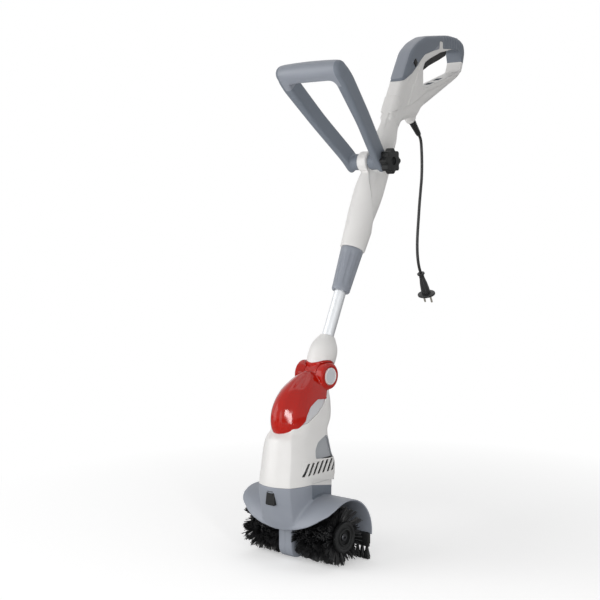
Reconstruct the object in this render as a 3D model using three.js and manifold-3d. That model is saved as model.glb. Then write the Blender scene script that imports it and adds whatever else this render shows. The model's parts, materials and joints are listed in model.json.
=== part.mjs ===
import * as THREE from 'three';
import { mergeVertices } from 'three/addons/utils/BufferGeometryUtils.js';
import Module from 'manifold-3d';

const wasm = await Module();
wasm.setup();

// Axes: X across the brushes, Y from the front to the person, Z up. All lengths in millimetres.

// Clearances and tools
const gap = 0.3;
const halfGap = gap / 2;
const overrun = 6;
const rodSides = 12;
const roundSides = 20;
const farCut = 700;

// Driving sizes of the whole tool
const brushRadius = 62.5;
const groundFlat = 0.5;
const axleHeight = brushRadius - groundFlat;
const axleRadius = 5;
const brushReach = 118;
const pivotBack = 50;
const pivotRise = 321;
const pivotHeight = axleHeight + pivotRise;
const earRadius = 28;
const stickLean = THREE.MathUtils.degToRad(25);

// Finishes
const finish = (color, roughness, metalness = 0) => (
  new THREE.MeshStandardMaterial({ color, roughness, metalness })
);
const white = finish('#dddad6', 0.42);
const grey = finish('#8b919b', 0.5);
const red = finish('#b3261a', 0.2);
const black = finish('#1a1a1b', 0.5);
const bristleBlack = finish('#121213', 0.7);
const rubber = finish('#161617', 0.8);
const steel = finish('#9b9da0', 0.35, 0.9);
const aluminium = finish('#c9cbcd', 0.3, 0.9);
const brass = finish('#b08d4c', 0.35, 0.9);
const copper = finish('#9c5a34', 0.4, 0.8);
const carbon = finish('#2b2b2d', 0.8);

// Solids from closed geometry, and back
const solid = (geometry) => {
  const bare = geometry.clone();
  bare.deleteAttribute('normal');
  bare.deleteAttribute('uv');
  const merged = mergeVertices(bare);
  const vertProperties = merged.attributes.position.array;
  const triVerts = Uint32Array.from(merged.index.array);
  return new wasm.Manifold(new wasm.Mesh({ numProp: 3, vertProperties, triVerts }));
};
const surface = (body) => {
  const { vertProperties, triVerts } = body.getMesh();
  const geometry = new THREE.BufferGeometry();
  geometry.setAttribute('position', new THREE.Float32BufferAttribute(vertProperties, 3));
  geometry.setIndex(Array.from(triVerts));
  return geometry;
};
const cut = (body, ...tools) => tools.reduce((left, tool) => left.subtract(tool), body);
const join = (body, ...others) => others.reduce((whole, other) => whole.add(other), body);

// The main body where a cut leaves loose crumbs
const largest = (body) => body.decompose().sort((a, b) => b.volume() - a.volume())[0];

// Blocks, rods and turned pieces
const block = (low, high) => {
  const size = high.map((value, i) => value - low[i]);
  const middle = high.map((value, i) => (value + low[i]) / 2);
  return solid(new THREE.BoxGeometry(...size).translate(...middle));
};
const alongX = (geometry) => geometry.rotateZ(-Math.PI / 2);
const alongZ = (geometry) => geometry.rotateX(Math.PI / 2);
const rodX = (radius, from, to, y = 0, z = 0, count = rodSides) => {
  const rod = new THREE.CylinderGeometry(radius, radius, to - from, count);
  return solid(alongX(rod).translate((from + to) / 2, y, z));
};
const rodZ = (radius, from, to, x = 0, y = 0, count = rodSides) => {
  const rod = new THREE.CylinderGeometry(radius, radius, to - from, count);
  return solid(alongZ(rod).translate(x, y, (from + to) / 2));
};
// A profile of [radius, height] points turned about Z, starting and ending on the axis or closing on itself
const turned = (profile, count = roundSides) => {
  const points = profile.map(([radius, height]) => new THREE.Vector2(radius, height));
  return solid(alongZ(new THREE.LatheGeometry(points, count)));
};
const turnedX = (profile, count = roundSides) => turned(profile, count).rotate([0, 90, 0]);
// A pair of distances from the middle plane, in rising order, for one side of the tool
const span = (side, near, far) => (side > 0 ? [near, far] : [-far, -near]);
const hollow = (outer, inner, low, high) => [
  [inner, low], [outer, low], [outer, high], [inner, high], [inner, low],
];

// A closed mesh through rings of points that all have the same count
const loft = (rings) => {
  const count = rings[0].length;
  const points = rings.flat();
  const faces = [];
  for (let r = 0; r + 1 < rings.length; r += 1) {
    for (let i = 0; i < count; i += 1) {
      const a = r * count + i;
      const b = r * count + ((i + 1) % count);
      faces.push([a, b, b + count], [a, b + count, a + count]);
    }
  }
  for (const r of [0, rings.length - 1]) {
    const first = r * count;
    if (count === 3) {
      faces.push(r === 0 ? [first, first + 2, first + 1] : [first, first + 1, first + 2]);
      continue;
    }
    const centre = rings[r].reduce((sum, p) => sum.add(p), new THREE.Vector3()).divideScalar(count);
    const hub = points.push(centre) - 1;
    for (let i = 0; i < count; i += 1) {
      const a = r * count + i;
      const b = r * count + ((i + 1) % count);
      faces.push(r === 0 ? [hub, b, a] : [hub, a, b]);
    }
  }
  const volume = faces.reduce((sum, [a, b, c]) => sum + points[a].dot(points[b].clone().cross(points[c])), 0);
  const outward = volume < 0 ? faces.map(([a, b, c]) => [a, c, b]) : faces;
  const geometry = new THREE.BufferGeometry();
  geometry.setAttribute('position', new THREE.Float32BufferAttribute(points.flatMap((p) => p.toArray()), 3));
  geometry.setIndex(outward.flat());
  return geometry;
};

// A closed outline with its corners rounded
const roundOutline = (path, corners, radius) => {
  const points = corners.map(([u, v]) => new THREE.Vector2(u, v));
  if (radius <= 0) return path.setFromPoints(points);
  points.forEach((corner, i) => {
    const before = points[(i + points.length - 1) % points.length];
    const after = points[(i + 1) % points.length];
    const reachBefore = Math.min(radius, corner.distanceTo(before) / 2);
    const reachAfter = Math.min(radius, corner.distanceTo(after) / 2);
    const start = corner.clone().add(before.clone().sub(corner).setLength(reachBefore));
    const end = corner.clone().add(after.clone().sub(corner).setLength(reachAfter));
    if (i === 0) path.moveTo(start.x, start.y);
    else path.lineTo(start.x, start.y);
    path.quadraticCurveTo(corner.x, corner.y, end.x, end.y);
  });
  path.closePath();
  return path;
};
// A plate with an outline in Y and Z, from one X to another, with rounded edges
const plateX = (shape, halfWidth, edge = 0, curveSegments = 2) => {
  const depth = 2 * (halfWidth - edge);
  const options = { depth, curveSegments, bevelEnabled: edge > 0, bevelSize: edge, bevelThickness: edge };
  const plate = new THREE.ExtrudeGeometry(shape, { ...options, bevelOffset: -edge, bevelSegments: 1 });
  plate.translate(0, 0, -depth / 2);
  const toX = new THREE.Matrix4().makeBasis(
    new THREE.Vector3(0, 1, 0),
    new THREE.Vector3(0, 0, 1),
    new THREE.Vector3(1, 0, 0),
  );
  return solid(plate.applyMatrix4(toX));
};
const outlineX = (corners, radius, halfWidth, edge = 0) => (
  plateX(roundOutline(new THREE.Shape(), corners, radius), halfWidth, edge)
);

// A plain prism with convex corners in Y and Z, from one X to another
const prismX = (corners, from, to) => (
  solid(loft([from, to].map((x) => corners.map(([y, z]) => new THREE.Vector3(x, y, z)))))
);

// The two halves that meet on the middle plane, each a half gap away from it
const sideOf = (body, side) => {
  const low = side > 0 ? [halfGap, -farCut, -farCut] : [-farCut, -farCut, -farCut];
  const high = side > 0 ? [farCut, farCut, 2 * farCut] : [-halfGap, farCut, 2 * farCut];
  return body.intersect(block(low, high));
};
const sides = [['left', -1], ['right', 1]];

// Groups and pieces
const whole = new THREE.Group();
const broom = new THREE.Group();
whole.add(broom);
const cordNames = [];
const piece = (group, name, body, look) => {
  const mesh = new THREE.Mesh(body.isBufferGeometry ? body : surface(body), look);
  mesh.name = name;
  group.add(mesh);
  return mesh;
};
const stick = new THREE.Group();
stick.position.set(0, pivotBack, pivotHeight);
stick.rotation.x = -stickLean;
broom.add(stick);

// Values between the rows of a table, row by its first column
const between = (rows, at) => {
  const last = rows.length - 1;
  if (at <= rows[0][0]) return rows[0];
  if (at >= rows[last][0]) return rows[last];
  const next = rows.findIndex((row) => row[0] > at);
  const share = (at - rows[next - 1][0]) / (rows[next][0] - rows[next - 1][0]);
  return rows[next].map((value, i) => rows[next - 1][i] + share * (value - rows[next - 1][i]));
};

// Body of the head: sections at heights above the axle
const bodyRise = 14;
const bodyLow = axleHeight + bodyRise;
const bodyTall = pivotRise - earRadius - bodyRise - 2 * gap;
const bodyHalf = 55;
const bodyFront = 102;
const bodyBack = 60;
const bodyWall = 2.5;
const bodyCornerRadius = 18;
const bodySideShare = 0.35;
const seamRise = 106;
const seamHeight = axleHeight + seamRise;
// Each row: height, half width, crease half width, front, crease and back, as shares of the sizes above
const bodyShares = [
  [0.0, 0.96, 0.75, 0.76, 0.69, 0.84],
  [0.064, 0.98, 0.76, 0.84, 0.755, 0.86],
  [0.254, 1.0, 0.775, 0.97, 0.853, 0.87],
  [0.336, 1.0, 0.755, 1.0, 0.866, 0.887],
  [0.471, 0.965, 0.72, 0.965, 0.82, 0.92],
  [0.525, 0.945, 0.71, 0.94, 0.8, 0.8],
  [0.621, 0.875, 0.67, 0.9, 0.765, 0.73],
  [0.68, 0.83, 0.62, 0.85, 0.72, 0.7],
  [0.72, 0.8, 0.56, 0.74, 0.64, 0.74],
  [0.793, 0.77, 0.52, 0.66, 0.57, 0.935],
  [0.907, 0.71, 0.5, 0.44, 0.38, 1.0],
  [1.0, 0.65, 0.46, 0.16, 0.12, 0.96],
];
const sideSteps = [0.45, 1];
const frontStep = 0.5;
const cornerTurns = [0, Math.PI / 4, Math.PI / 2];
const bodyRing = (height, inset) => {
  const share = between(bodyShares, (height - bodyLow) / bodyTall);
  const half = share[1] * bodyHalf;
  const creaseHalf = share[2] * bodyHalf;
  const front = -share[3] * bodyFront;
  const crease = -share[4] * bodyFront;
  const back = share[5] * bodyBack;
  const sideY = crease + bodySideShare * (back - crease);
  const outline = [];
  for (const step of [0, frontStep]) {
    outline.push([step * creaseHalf, front + (crease - front) * step * step]);
  }
  outline.push([creaseHalf, crease]);
  for (const step of sideSteps) {
    const swell = Math.sin(step * Math.PI / 2);
    outline.push([creaseHalf + (half - creaseHalf) * swell, crease + (sideY - crease) * step]);
  }
  for (const angle of cornerTurns) {
    const x = half - bodyCornerRadius * (1 - Math.cos(angle));
    outline.push([x, back - bodyCornerRadius * (1 - Math.sin(angle))]);
  }
  outline.push([0, back]);
  const mirrored = outline.slice(1, -1).reverse().map(([x, y]) => [-x, y]);
  return insetRing([...outline, ...mirrored], inset, height);
};
// Moves every point of a ring inward along its own corner
const insetRing = (outline, inset, height) => outline.map(([x, y], i) => {
  const [xa, ya] = outline[(i + outline.length - 1) % outline.length];
  const [xb, yb] = outline[(i + 1) % outline.length];
  const inward = new THREE.Vector2(ya - yb, xb - xa).normalize();
  return new THREE.Vector3(x + inset * inward.x, y + inset * inward.y, height);
});
const bodyLoft = (low, high, inset) => {
  const levels = bodyShares.map((row) => bodyLow + row[0] * bodyTall);
  const inside = levels.filter((level) => level > low + gap && level < high - gap);
  return solid(loft([low, ...inside, high].map((level) => bodyRing(level, inset))));
};

// Motor, upright in front of the axle, and the worm that drives the brush shaft
const wormModule = 2;
const wheelTeeth = 24;
const wheelPitchRadius = wheelTeeth * wormModule / 2;
const wormPitchRadius = 8;
const motorBack = -(wheelPitchRadius + wormPitchRadius);
const rotorRadius = 4;
const bearingRadius = 11;
const bearingWidth = 8;
const statorRadius = 39;
const statorInner = 27;
const armatureRadius = 25;
const commutatorRadius = 12;
const fanRadius = 34;
const statorRise = 113;
const statorTall = 50;
const armatureTall = 42;
const fanRise = 90;
const fanTall = 12;
const fanBlades = 6;
const fanPlate = 2;
const commutatorAway = 5;
const commutatorTall = 13;
const upperBearingAway = 25;
const legRise = 88;
const legWall = 2;
const statorLow = axleHeight + statorRise;
const statorHigh = statorLow + statorTall;
const armatureLow = statorLow + (statorTall - armatureTall) / 2;
const fanLow = axleHeight + fanRise;
const commutatorLow = statorHigh + commutatorAway;
const upperBearingLow = statorHigh + upperBearingAway;
const legTop = axleHeight + legRise;
const lowerBearingLow = legTop - legWall - bearingWidth;

// Central leg that holds the worm wheel between the brushes
const leg = { half: 18, front: 54, back: 38, bottom: 9, round: 26, edge: 2, flange: 4, flangeHalf: 30 };
const wheelCavity = { radius: 27.5, half: 9 };
const wormCavity = { radius: 11.5, bottom: 36 };
const legBearing = { radius: 13, width: 7, inner: 10 };

// Hood over the brushes
const hood = { outer: 80, wall: 3, half: 127, from: -6, to: 170, step: 10 };
const hoodInner = hood.outer - hood.wall;
// Half width of the hood at each angle above the rear, as shares of its full half width
const hoodWidthShares = [
  [-6, 1], [100, 1], [112, 0.995], [125, 0.976], [137, 0.906], [145, 0.803],
  [150, 0.74], [157.5, 0.638], [165, 0.394], [168.5, 0.2], [170, 0.04],
];
const hoodRing = (angle) => {
  const half = hood.half * between(hoodWidthShares, angle)[1];
  const turn = THREE.MathUtils.degToRad(angle);
  const at = (radius, x) => (
    new THREE.Vector3(x, radius * Math.cos(turn), axleHeight + radius * Math.sin(turn))
  );
  return [at(hoodInner, -half), at(hood.outer, -half), at(hood.outer, half), at(hoodInner, half)];
};
const hoodAngles = hoodWidthShares.map((row) => row[0]).slice(2);
for (let angle = hood.from; angle < hoodAngles[0]; angle += hood.step) hoodAngles.push(angle);
hoodAngles.sort((a, b) => a - b);
const hoodSheet = solid(loft(hoodAngles.map(hoodRing)));
const underHood = prismX(hoodAngles.map((angle) => {
  const [inner] = hoodRing(angle);
  return [inner.y, inner.z];
}), -farCut, farCut);

const latch = { low: 131, high: 163, bottomHalf: 10.8, topHalf: 8.6, proud: 2.5, deep: 6 };
const latchFront = -bodyFront * between(bodyShares, ((latch.low + latch.high) / 2 - bodyLow) / bodyTall)[3];
const latchShape = (grow, front, back) => {
  const low = latch.low - grow;
  const high = latch.high + grow;
  const corners = [
    [-latch.bottomHalf - grow, low], [latch.bottomHalf + grow, low],
    [latch.topHalf + grow, high], [-latch.topHalf - grow, high],
  ];
  const rings = [front, back].map((y) => corners.map(([x, z]) => new THREE.Vector3(x, y, z)));
  return solid(loft(rings));
};

function buildGuard() {
  const skirt = cut(
    bodyLoft(bodyLow, seamHeight, 0),
    bodyLoft(bodyLow - overrun, seamHeight + overrun, bodyWall),
    underHood,
  );
  const plateLow = legTop - leg.flange - gap - hood.wall;
  const plate = bodyLoft(plateLow, plateLow + hood.wall, bodyWall - gap);
  const legRoom = { half: leg.half + gap, front: -leg.front - gap, back: leg.back + gap };
  const legOpening = block([-legRoom.half, legRoom.front, 0], [legRoom.half, legRoom.back, seamHeight]);
  const rotorWay = rodZ(bearingRadius + wormPitchRadius, axleHeight, seamHeight, 0, motorBack);
  const pocket = latchShape(gap, latchFront - bodyFront, latchFront + latch.deep + overrun);
  const guard = cut(join(hoodSheet, skirt, plate), legOpening, rotorWay, pocket);
  piece(broom, 'brush_guard', guard, grey);
  const key = latchShape(0, latchFront - latch.proud, latchFront + latch.deep);
  piece(broom, 'guard_latch', key, black);
}

// Strip of bristles along the rear edge of the hood
const rearStrip = { half: 122, front: 70.5, back: 80.5, low: 34, backing: 4, tufts: 20 };
const rearStrand = { radius: 1.1, fan: 2.6, splay: 4 };
const rearFlareShare = 1.3;
const rearLeans = [-1, 0, 1];
const rearTop = axleHeight + hoodInner * Math.sin(THREE.MathUtils.degToRad(hood.from)) - 2 * gap;

// Bristles: straight strands of three sides, wider at the tip
const strandSides = 3;
const strandSet = (list, rootRadius, tipRadius) => {
  const geometries = list.map(([root, tip]) => {
    const along = tip.clone().sub(root).normalize();
    const across = new THREE.Vector3(1, 0, 0).cross(along).normalize();
    const ring = (centre, radius) => Array.from({ length: strandSides }, (_, i) => {
      const outward = across.clone().applyAxisAngle(along, 2 * Math.PI * i / strandSides);
      return centre.clone().addScaledVector(outward, radius);
    });
    return solid(loft([ring(root, rootRadius), ring(tip, tipRadius)]));
  });
  return join(...geometries);
};
const belowGround = block([-farCut, -farCut, -farCut], [farCut, farCut, 0]);

function buildRearBrush() {
  const { half, front, back, low, backing } = rearStrip;
  piece(broom, 'rear_brush_holder', block([-half, front, low], [half, back, rearTop]), black);
  const middle = (front + back) / 2;
  const top = low - gap;
  const list = [];
  for (let tuft = 0; tuft < rearStrip.tufts; tuft += 1) {
    const x = half * ((2 * tuft + 1) / rearStrip.tufts - 1);
    for (const lean of rearLeans) {
      const root = new THREE.Vector3(x + lean * rearStrand.fan, middle, top - backing / 2);
      const tip = new THREE.Vector3(x + lean * backing, middle + lean * rearStrand.splay, -groundFlat);
      list.push([root, tip]);
    }
  }
  const strands = strandSet(list, rearStrand.radius, rearStrand.radius * rearFlareShare);
  const slice = block([-half, middle - backing / 2, top - backing], [half, middle + backing / 2, top]);
  piece(broom, 'rear_brush', cut(join(slice, strands), belowGround), bristleBlack);
}

// Brush drums on the shaft, one on each side of the leg
const drum = { core: 20, rows: 7, around: 18, rootRadius: 1.4, tipRadius: 2.6, legClear: 2 };
// How far a strand leans about the shaft, and the steps of its scatter, in radians
const strandLean = 0.06;
const scatter = { leanStep: 2.1, tipStep: 1.7, rowStep: 2.3 };
const drumInner = leg.half + drum.legClear + gap;
const hub = { radius: 32, width: 10, recess: 16, recessDeep: 6 };
const hubScrew = { radius: 8, tall: 3.6, shank: 2.5, shankLong: 14 };
const drumOuter = brushReach - hub.width - gap;

function buildDrums() {
  const shaftReach = brushReach - hub.recessDeep - gap;
  const shaftHole = (side) => {
    const [from, to] = span(side, shaftReach - hubScrew.shankLong - gap, shaftReach + overrun);
    return rodX(hubScrew.shank + gap, from, to, 0, axleHeight);
  };
  const shaft = rodX(axleRadius, -shaftReach, shaftReach, 0, axleHeight);
  piece(broom, 'brush_shaft', cut(shaft, shaftHole(-1), shaftHole(1)), steel);
  for (const [name, side] of sides) {
    const rod = (radius, from, to, count = rodSides) => (
      rodX(radius, ...span(side, from, to), 0, axleHeight, count)
    );
    const list = [];
    for (let row = 0; row < drum.rows; row += 1) {
      const x = drumInner + (drumOuter - drumInner) * (2 * row + 1) / (2 * drum.rows);
      for (let turn = 0; turn < drum.around; turn += 1) {
        const quarterSteps = 4 * turn + 2 * (row % 2) + 1;
        const angle = Math.PI * quarterSteps / (2 * drum.around) - Math.PI / 2;
        const lean = strandLean * Math.sin(turn * scatter.leanStep + row);
        const out = (radius, at, reach) => new THREE.Vector3(
          side * at, radius * Math.cos(angle + reach), axleHeight + radius * Math.sin(angle + reach),
        );
        const tipX = x + drum.tipRadius * Math.cos(turn * scatter.tipStep + row * scatter.rowStep);
        list.push([out(drum.core - drum.tipRadius, x, 0), out(brushRadius, tipX, lean)]);
      }
    }
    const strands = strandSet(list, drum.rootRadius, drum.tipRadius);
    const sleeve = rod(drum.core, drumInner, drumOuter, drum.around * 2);
    const bore = rod(axleRadius + gap, drumInner - overrun, drumOuter + overrun);
    const brush = cut(join(sleeve, strands), bore, belowGround);
    piece(broom, `${name}_brush`, brush, bristleBlack);
    const disc = cut(
      rod(hub.radius, brushReach - hub.width, brushReach, roundSides),
      rod(hub.recess, brushReach - hub.recessDeep, brushReach + overrun, roundSides),
      rod(axleRadius + gap, brushReach - 2 * hub.width, brushReach),
    );
    piece(broom, `${name}_hub`, disc, black);
    const headFrom = shaftReach + gap;
    const screw = join(
      rod(hubScrew.radius, headFrom, headFrom + hubScrew.tall),
      rod(hubScrew.shank, shaftReach - hubScrew.shankLong + gap, headFrom + gap),
    );
    piece(broom, `${name}_hub_screw`, screw, steel);
  }
}

// Worm wheel on the brush shaft
const wheel = { half: 6, hubRadius: 10, hubHalf: 8.7, addendum: 1.7, dedendum: 2.7 };
const toothShare = 0.3;
const toothTipShare = 0.17;
function buildWheel() {
  const shape = new THREE.Shape();
  const pitch = 2 * Math.PI / wheelTeeth;
  const root = wheelPitchRadius - wheel.dedendum;
  const tip = wheelPitchRadius + wheel.addendum;
  for (let tooth = 0; tooth < wheelTeeth; tooth += 1) {
    const middle = Math.PI + pitch * (2 * tooth + 1) / 2;
    const corners = [[root, -toothShare], [tip, -toothTipShare], [tip, toothTipShare], [root, toothShare]];
    for (const [radius, share] of corners) {
      const angle = middle + share * pitch;
      const point = [radius * Math.cos(angle), axleHeight + radius * Math.sin(angle)];
      if (tooth === 0 && share === -toothShare) shape.moveTo(...point);
      else shape.lineTo(...point);
    }
  }
  shape.closePath();
  const rim = plateX(shape, wheel.half);
  const boss = rodX(wheel.hubRadius, -wheel.hubHalf, wheel.hubHalf, 0, axleHeight);
  const bore = rodX(axleRadius + gap, -farCut, farCut, 0, axleHeight);
  piece(broom, 'worm_wheel', cut(join(rim, boss), bore), brass);
}

// Rotor shaft with its worm thread
const worm = { half: 11, root: 5.2, tip: 9.4, around: 12, stepsPerTurn: 4 };
const crestShare = 0.2;
const flankShare = 0.42;
const armatureSlots = 6;
function buildRotor() {
  const lead = Math.PI * wormModule;
  const rings = [];
  const steps = Math.round(2 * worm.half / lead * worm.stepsPerTurn);
  for (let step = 0; step <= steps; step += 1) {
    const height = -worm.half + 2 * worm.half * step / steps;
    rings.push(Array.from({ length: worm.around }, (_, i) => {
      const angle = 2 * Math.PI * i / worm.around;
      const turn = height / lead - (angle - Math.PI / 2) / (2 * Math.PI);
      const away = 2 * Math.abs(turn - Math.round(turn));
      const rise = THREE.MathUtils.clamp((flankShare - away) / (flankShare - crestShare), 0, 1);
      const ends = step === 0 || step === steps ? 0 : rise;
      const radius = worm.root + (worm.tip - worm.root) * ends;
      const back = motorBack + radius * Math.sin(angle);
      return new THREE.Vector3(radius * Math.cos(angle), back, axleHeight + height);
    }));
  }
  const threadBody = solid(loft(rings));
  const shaftLow = axleHeight - worm.half - overrun;
  const shaftHigh = upperBearingLow + bearingWidth + fanPlate;
  const shaft = rodZ(rotorRadius, shaftLow, shaftHigh, 0, motorBack);
  piece(broom, 'worm_shaft', join(threadBody, shaft), steel);

  const onShaft = (profile, count) => turned(profile, count).translate([0, motorBack, 0]);
  const bore = rotorRadius + gap;
  const armature = onShaft(hollow(armatureRadius, bore, armatureLow, armatureLow + armatureTall), roundSides);
  const slots = Array.from({ length: armatureSlots }, (_, i) => {
    const angle = 2 * Math.PI * i / armatureSlots;
    const x = armatureRadius * Math.cos(angle);
    const y = motorBack + armatureRadius * Math.sin(angle);
    return rodZ(rotorRadius, armatureLow - overrun, armatureLow + armatureTall + overrun, x, y, rodSides / 2);
  });
  piece(broom, 'motor_armature', cut(armature, ...slots), copper);
  const commutatorHigh = commutatorLow + commutatorTall;
  const commutator = onShaft(hollow(commutatorRadius, bore, commutatorLow, commutatorHigh), rodSides);
  piece(broom, 'motor_commutator', commutator, copper);
  const fanHub = onShaft(hollow(fanRadius, bore, fanLow, fanLow + fanPlate), roundSides);
  const fanBoss = onShaft(hollow(bore + 2 * fanPlate, bore, fanLow, fanLow + fanTall), rodSides);
  const blades = Array.from({ length: fanBlades }, (_, i) => (
    block([bore + fanPlate, -fanPlate / 2, fanLow], [fanRadius, fanPlate / 2, fanLow + fanTall])
      .rotate([0, 0, i * 360 / fanBlades]).translate([0, motorBack, 0])
  ));
  piece(broom, 'motor_fan', join(fanHub, fanBoss, ...blades), black);

  const statorRing = onShaft(hollow(statorRadius, statorInner, statorLow, statorHigh), roundSides);
  piece(broom, 'motor_stator', statorRing, steel);
  const bearing = (low) => onShaft(hollow(bearingRadius, bore, low, low + bearingWidth), rodSides);
  piece(broom, 'upper_bearing', bearing(upperBearingLow), steel);
  piece(broom, 'lower_bearing', bearing(lowerBearingLow), steel);
  const brushTall = commutatorTall - 2 * fanPlate;
  const brushLow = commutatorLow + fanPlate;
  for (const [name, side] of sides) {
    const [near, far] = span(side, commutatorRadius + gap, statorInner - gap);
    const low = [near, motorBack - rotorRadius, brushLow];
    const high = [far, motorBack + rotorRadius, brushLow + brushTall];
    piece(broom, `${name}_carbon_brush`, block(low, high), carbon);
  }
}

function buildLeg() {
  const corners = [
    [-leg.front, legTop - leg.flange], [-leg.front, leg.bottom],
    [leg.back, leg.bottom], [leg.back, legTop - leg.flange],
  ];
  const post = outlineX(corners, leg.round, leg.half, leg.edge);
  const top = block([-leg.half, -leg.front, legTop - leg.round - leg.flange], [leg.half, leg.back, legTop]);
  const flange = block(
    [-leg.flangeHalf, -leg.front - leg.flange, legTop - leg.flange],
    [leg.flangeHalf, leg.back + leg.flange, legTop],
  );
  const cavities = [
    rodX(wheelCavity.radius, -wheelCavity.half, wheelCavity.half, 0, axleHeight, roundSides),
    rodX(legBearing.radius + gap, -leg.half - overrun, leg.half + overrun, 0, axleHeight),
    rodZ(wormCavity.radius, wormCavity.bottom, legTop + overrun, 0, motorBack),
  ];
  const body = cut(join(post, top, flange), ...cavities);
  for (const [name, side] of sides) {
    piece(broom, `gear_leg_${name}`, sideOf(body, side), grey);
    const [near, far] = span(side, legBearing.inner, legBearing.inner + legBearing.width);
    const ring = cut(
      rodX(legBearing.radius, near, far, 0, axleHeight),
      rodX(axleRadius + gap, -farCut, farCut, 0, axleHeight),
    );
    piece(broom, `leg_bearing_${name}`, ring, steel);
  }
}

// White housing shells with their ribs and vent slots
const housingLow = seamHeight + gap;
const housingHigh = bodyLow + bodyTall;
const rib = { thick: 3, fromEnd: 5 };
const vent = { count: 7, pitch: 15, width: 5, low: 188, high: 213, firstY: -60, lean: 17 };
function buildHousing() {
  const outer = bodyLoft(housingLow, housingHigh, 0);
  const inner = bodyLoft(housingLow - overrun, housingHigh - bodyWall, bodyWall);
  const ribAt = (low, radius, count) => cut(
    bodyLoft(low, low + rib.thick, bodyWall - gap),
    rodZ(radius + gap, low - overrun, low + rib.thick + overrun, 0, motorBack, count),
  );
  const slots = Array.from({ length: vent.count }, (_, i) => {
    const low = vent.firstY + i * vent.pitch;
    const corners = [
      [low, vent.low], [low + vent.width, vent.low],
      [low + vent.width + vent.lean, vent.high], [low + vent.lean, vent.high],
    ];
    return prismX(corners, -2 * bodyHalf, 2 * bodyHalf);
  });
  const shell = join(
    cut(outer, inner, ...slots),
    ribAt(statorLow + rib.fromEnd, statorRadius, roundSides),
    ribAt(upperBearingLow + rib.fromEnd - rib.thick, bearingRadius, rodSides),
  );
  for (const [name, side] of sides) piece(broom, `motor_housing_${name}`, sideOf(shell, side), white);
}

// Tilt pivot: red ears, pin, plain cap and release button
const ear = { inner: 18.5, outer: 38, radius: earRadius, waist: 25, face: 20.5, fillet: 7 };
const earBore = 6;
const earRecess = 18;
const earRecessDeep = 8;
const earCrownShare = 0.35;
const earFoot = { front: 22.4, back: 10 };
const pinReach = ear.outer - earRecessDeep - gap;
const tiltButton = { proud: 1.5, tall: 6 };
function buildPivot() {
  for (const [name, side] of sides) {
    const innerSide = [[0, ear.inner], [ear.waist, ear.inner], [ear.radius, ear.inner + ear.fillet]];
    const crown = ear.outer - ear.fillet * earCrownShare;
    const outerSide = [
      [ear.radius, ear.outer - ear.fillet], [ear.waist, crown], [ear.face, ear.outer], [0, ear.outer],
    ];
    const profile = [...innerSide, ...outerSide];
    const drumBody = (side > 0 ? turnedX(profile) : turnedX(profile).mirror([1, 0, 0]))
      .translate([0, pivotBack, pivotHeight]);
    const [near, far] = span(side, ear.inner, ear.outer - bodyWall);
    const foot = block(
      [near, pivotBack - earFoot.front, housingHigh + gap],
      [far, pivotBack + earFoot.back, pivotHeight],
    );
    const [from, to] = span(side, ear.outer - earRecessDeep, ear.outer + overrun);
    const recess = rodX(earRecess + gap, from, to, pivotBack, pivotHeight, roundSides);
    const bore = rodX(earBore + gap, -farCut, farCut, pivotBack, pivotHeight);
    piece(broom, `pivot_ear_${name}`, cut(join(drumBody, foot), recess, bore), red);
  }
  piece(broom, 'pivot_pin', rodX(earBore, -pinReach, pinReach, pivotBack, pivotHeight), steel);
  const buttonOut = ear.outer + tiltButton.proud;
  const buttonIn = buttonOut - tiltButton.tall;
  const capIn = ear.outer - earRecessDeep + gap;
  const plugAt = (from, to) => rodX(earRecess, from, to, pivotBack, pivotHeight, roundSides);
  piece(broom, 'tilt_button', plugAt(buttonIn, buttonOut), grey);
  piece(broom, 'pivot_end_cap', plugAt(-buttonOut, -capIn), grey);
}

// Red cap over the front of the motor
const cap = { low: 274, tall: 114, half: 38, front: 86, back: 14, wall: 2.5, tuck: 12 };
// Each row: height, half width, facet half width, front, facet, as shares of the sizes above
const capShares = [
  [0.0, 0.7, 0.4, 0.9, 0.84],
  [0.1, 0.88, 0.5, 0.965, 0.87],
  [0.25, 0.96, 0.54, 0.985, 0.86],
  [0.4, 1.0, 0.56, 0.97, 0.83],
  [0.66, 1.0, 0.6, 0.82, 0.66],
  [0.8, 0.98, 0.66, 0.58, 0.4],
  [0.9, 0.94, 0.7, 0.36, 0.17],
  [1.0, 0.88, 0.72, 0.1, 0.02],
];
// Where the bend points of a section lie between its corners
const capBendShares = { front: 0.6, frontDrop: 0.3, side: 0.6, sideDrop: 0.35, middle: 0.5 };
const capRing = (height, inset) => {
  const bend = capBendShares;
  const share = between(capShares, (height - cap.low) / cap.tall);
  const half = share[1] * cap.half;
  const facet = share[2] * cap.half;
  const front = -share[3] * cap.front;
  const facetY = -share[4] * cap.front;
  const sideY = facetY + bend.middle * (cap.back - facetY);
  const outline = [
    [0, front],
    [facet * bend.front, front + bend.frontDrop * (facetY - front)],
    [facet, facetY],
    [facet + bend.side * (half - facet), facetY + bend.sideDrop * (sideY - facetY)],
    [half, sideY],
    [half, cap.back],
    [0, cap.back],
  ];
  const mirrored = outline.slice(1, -1).reverse().map(([x, y]) => [-x, y]);
  return insetRing([...outline, ...mirrored], inset, height);
};
const capLoft = (low, high, inset) => {
  const levels = capShares.map((row) => cap.low + row[0] * cap.tall);
  const inside = levels.filter((level) => level > low + gap && level < high - gap);
  return solid(loft([low, ...inside, high].map((level) => capRing(level, inset))));
};
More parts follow.
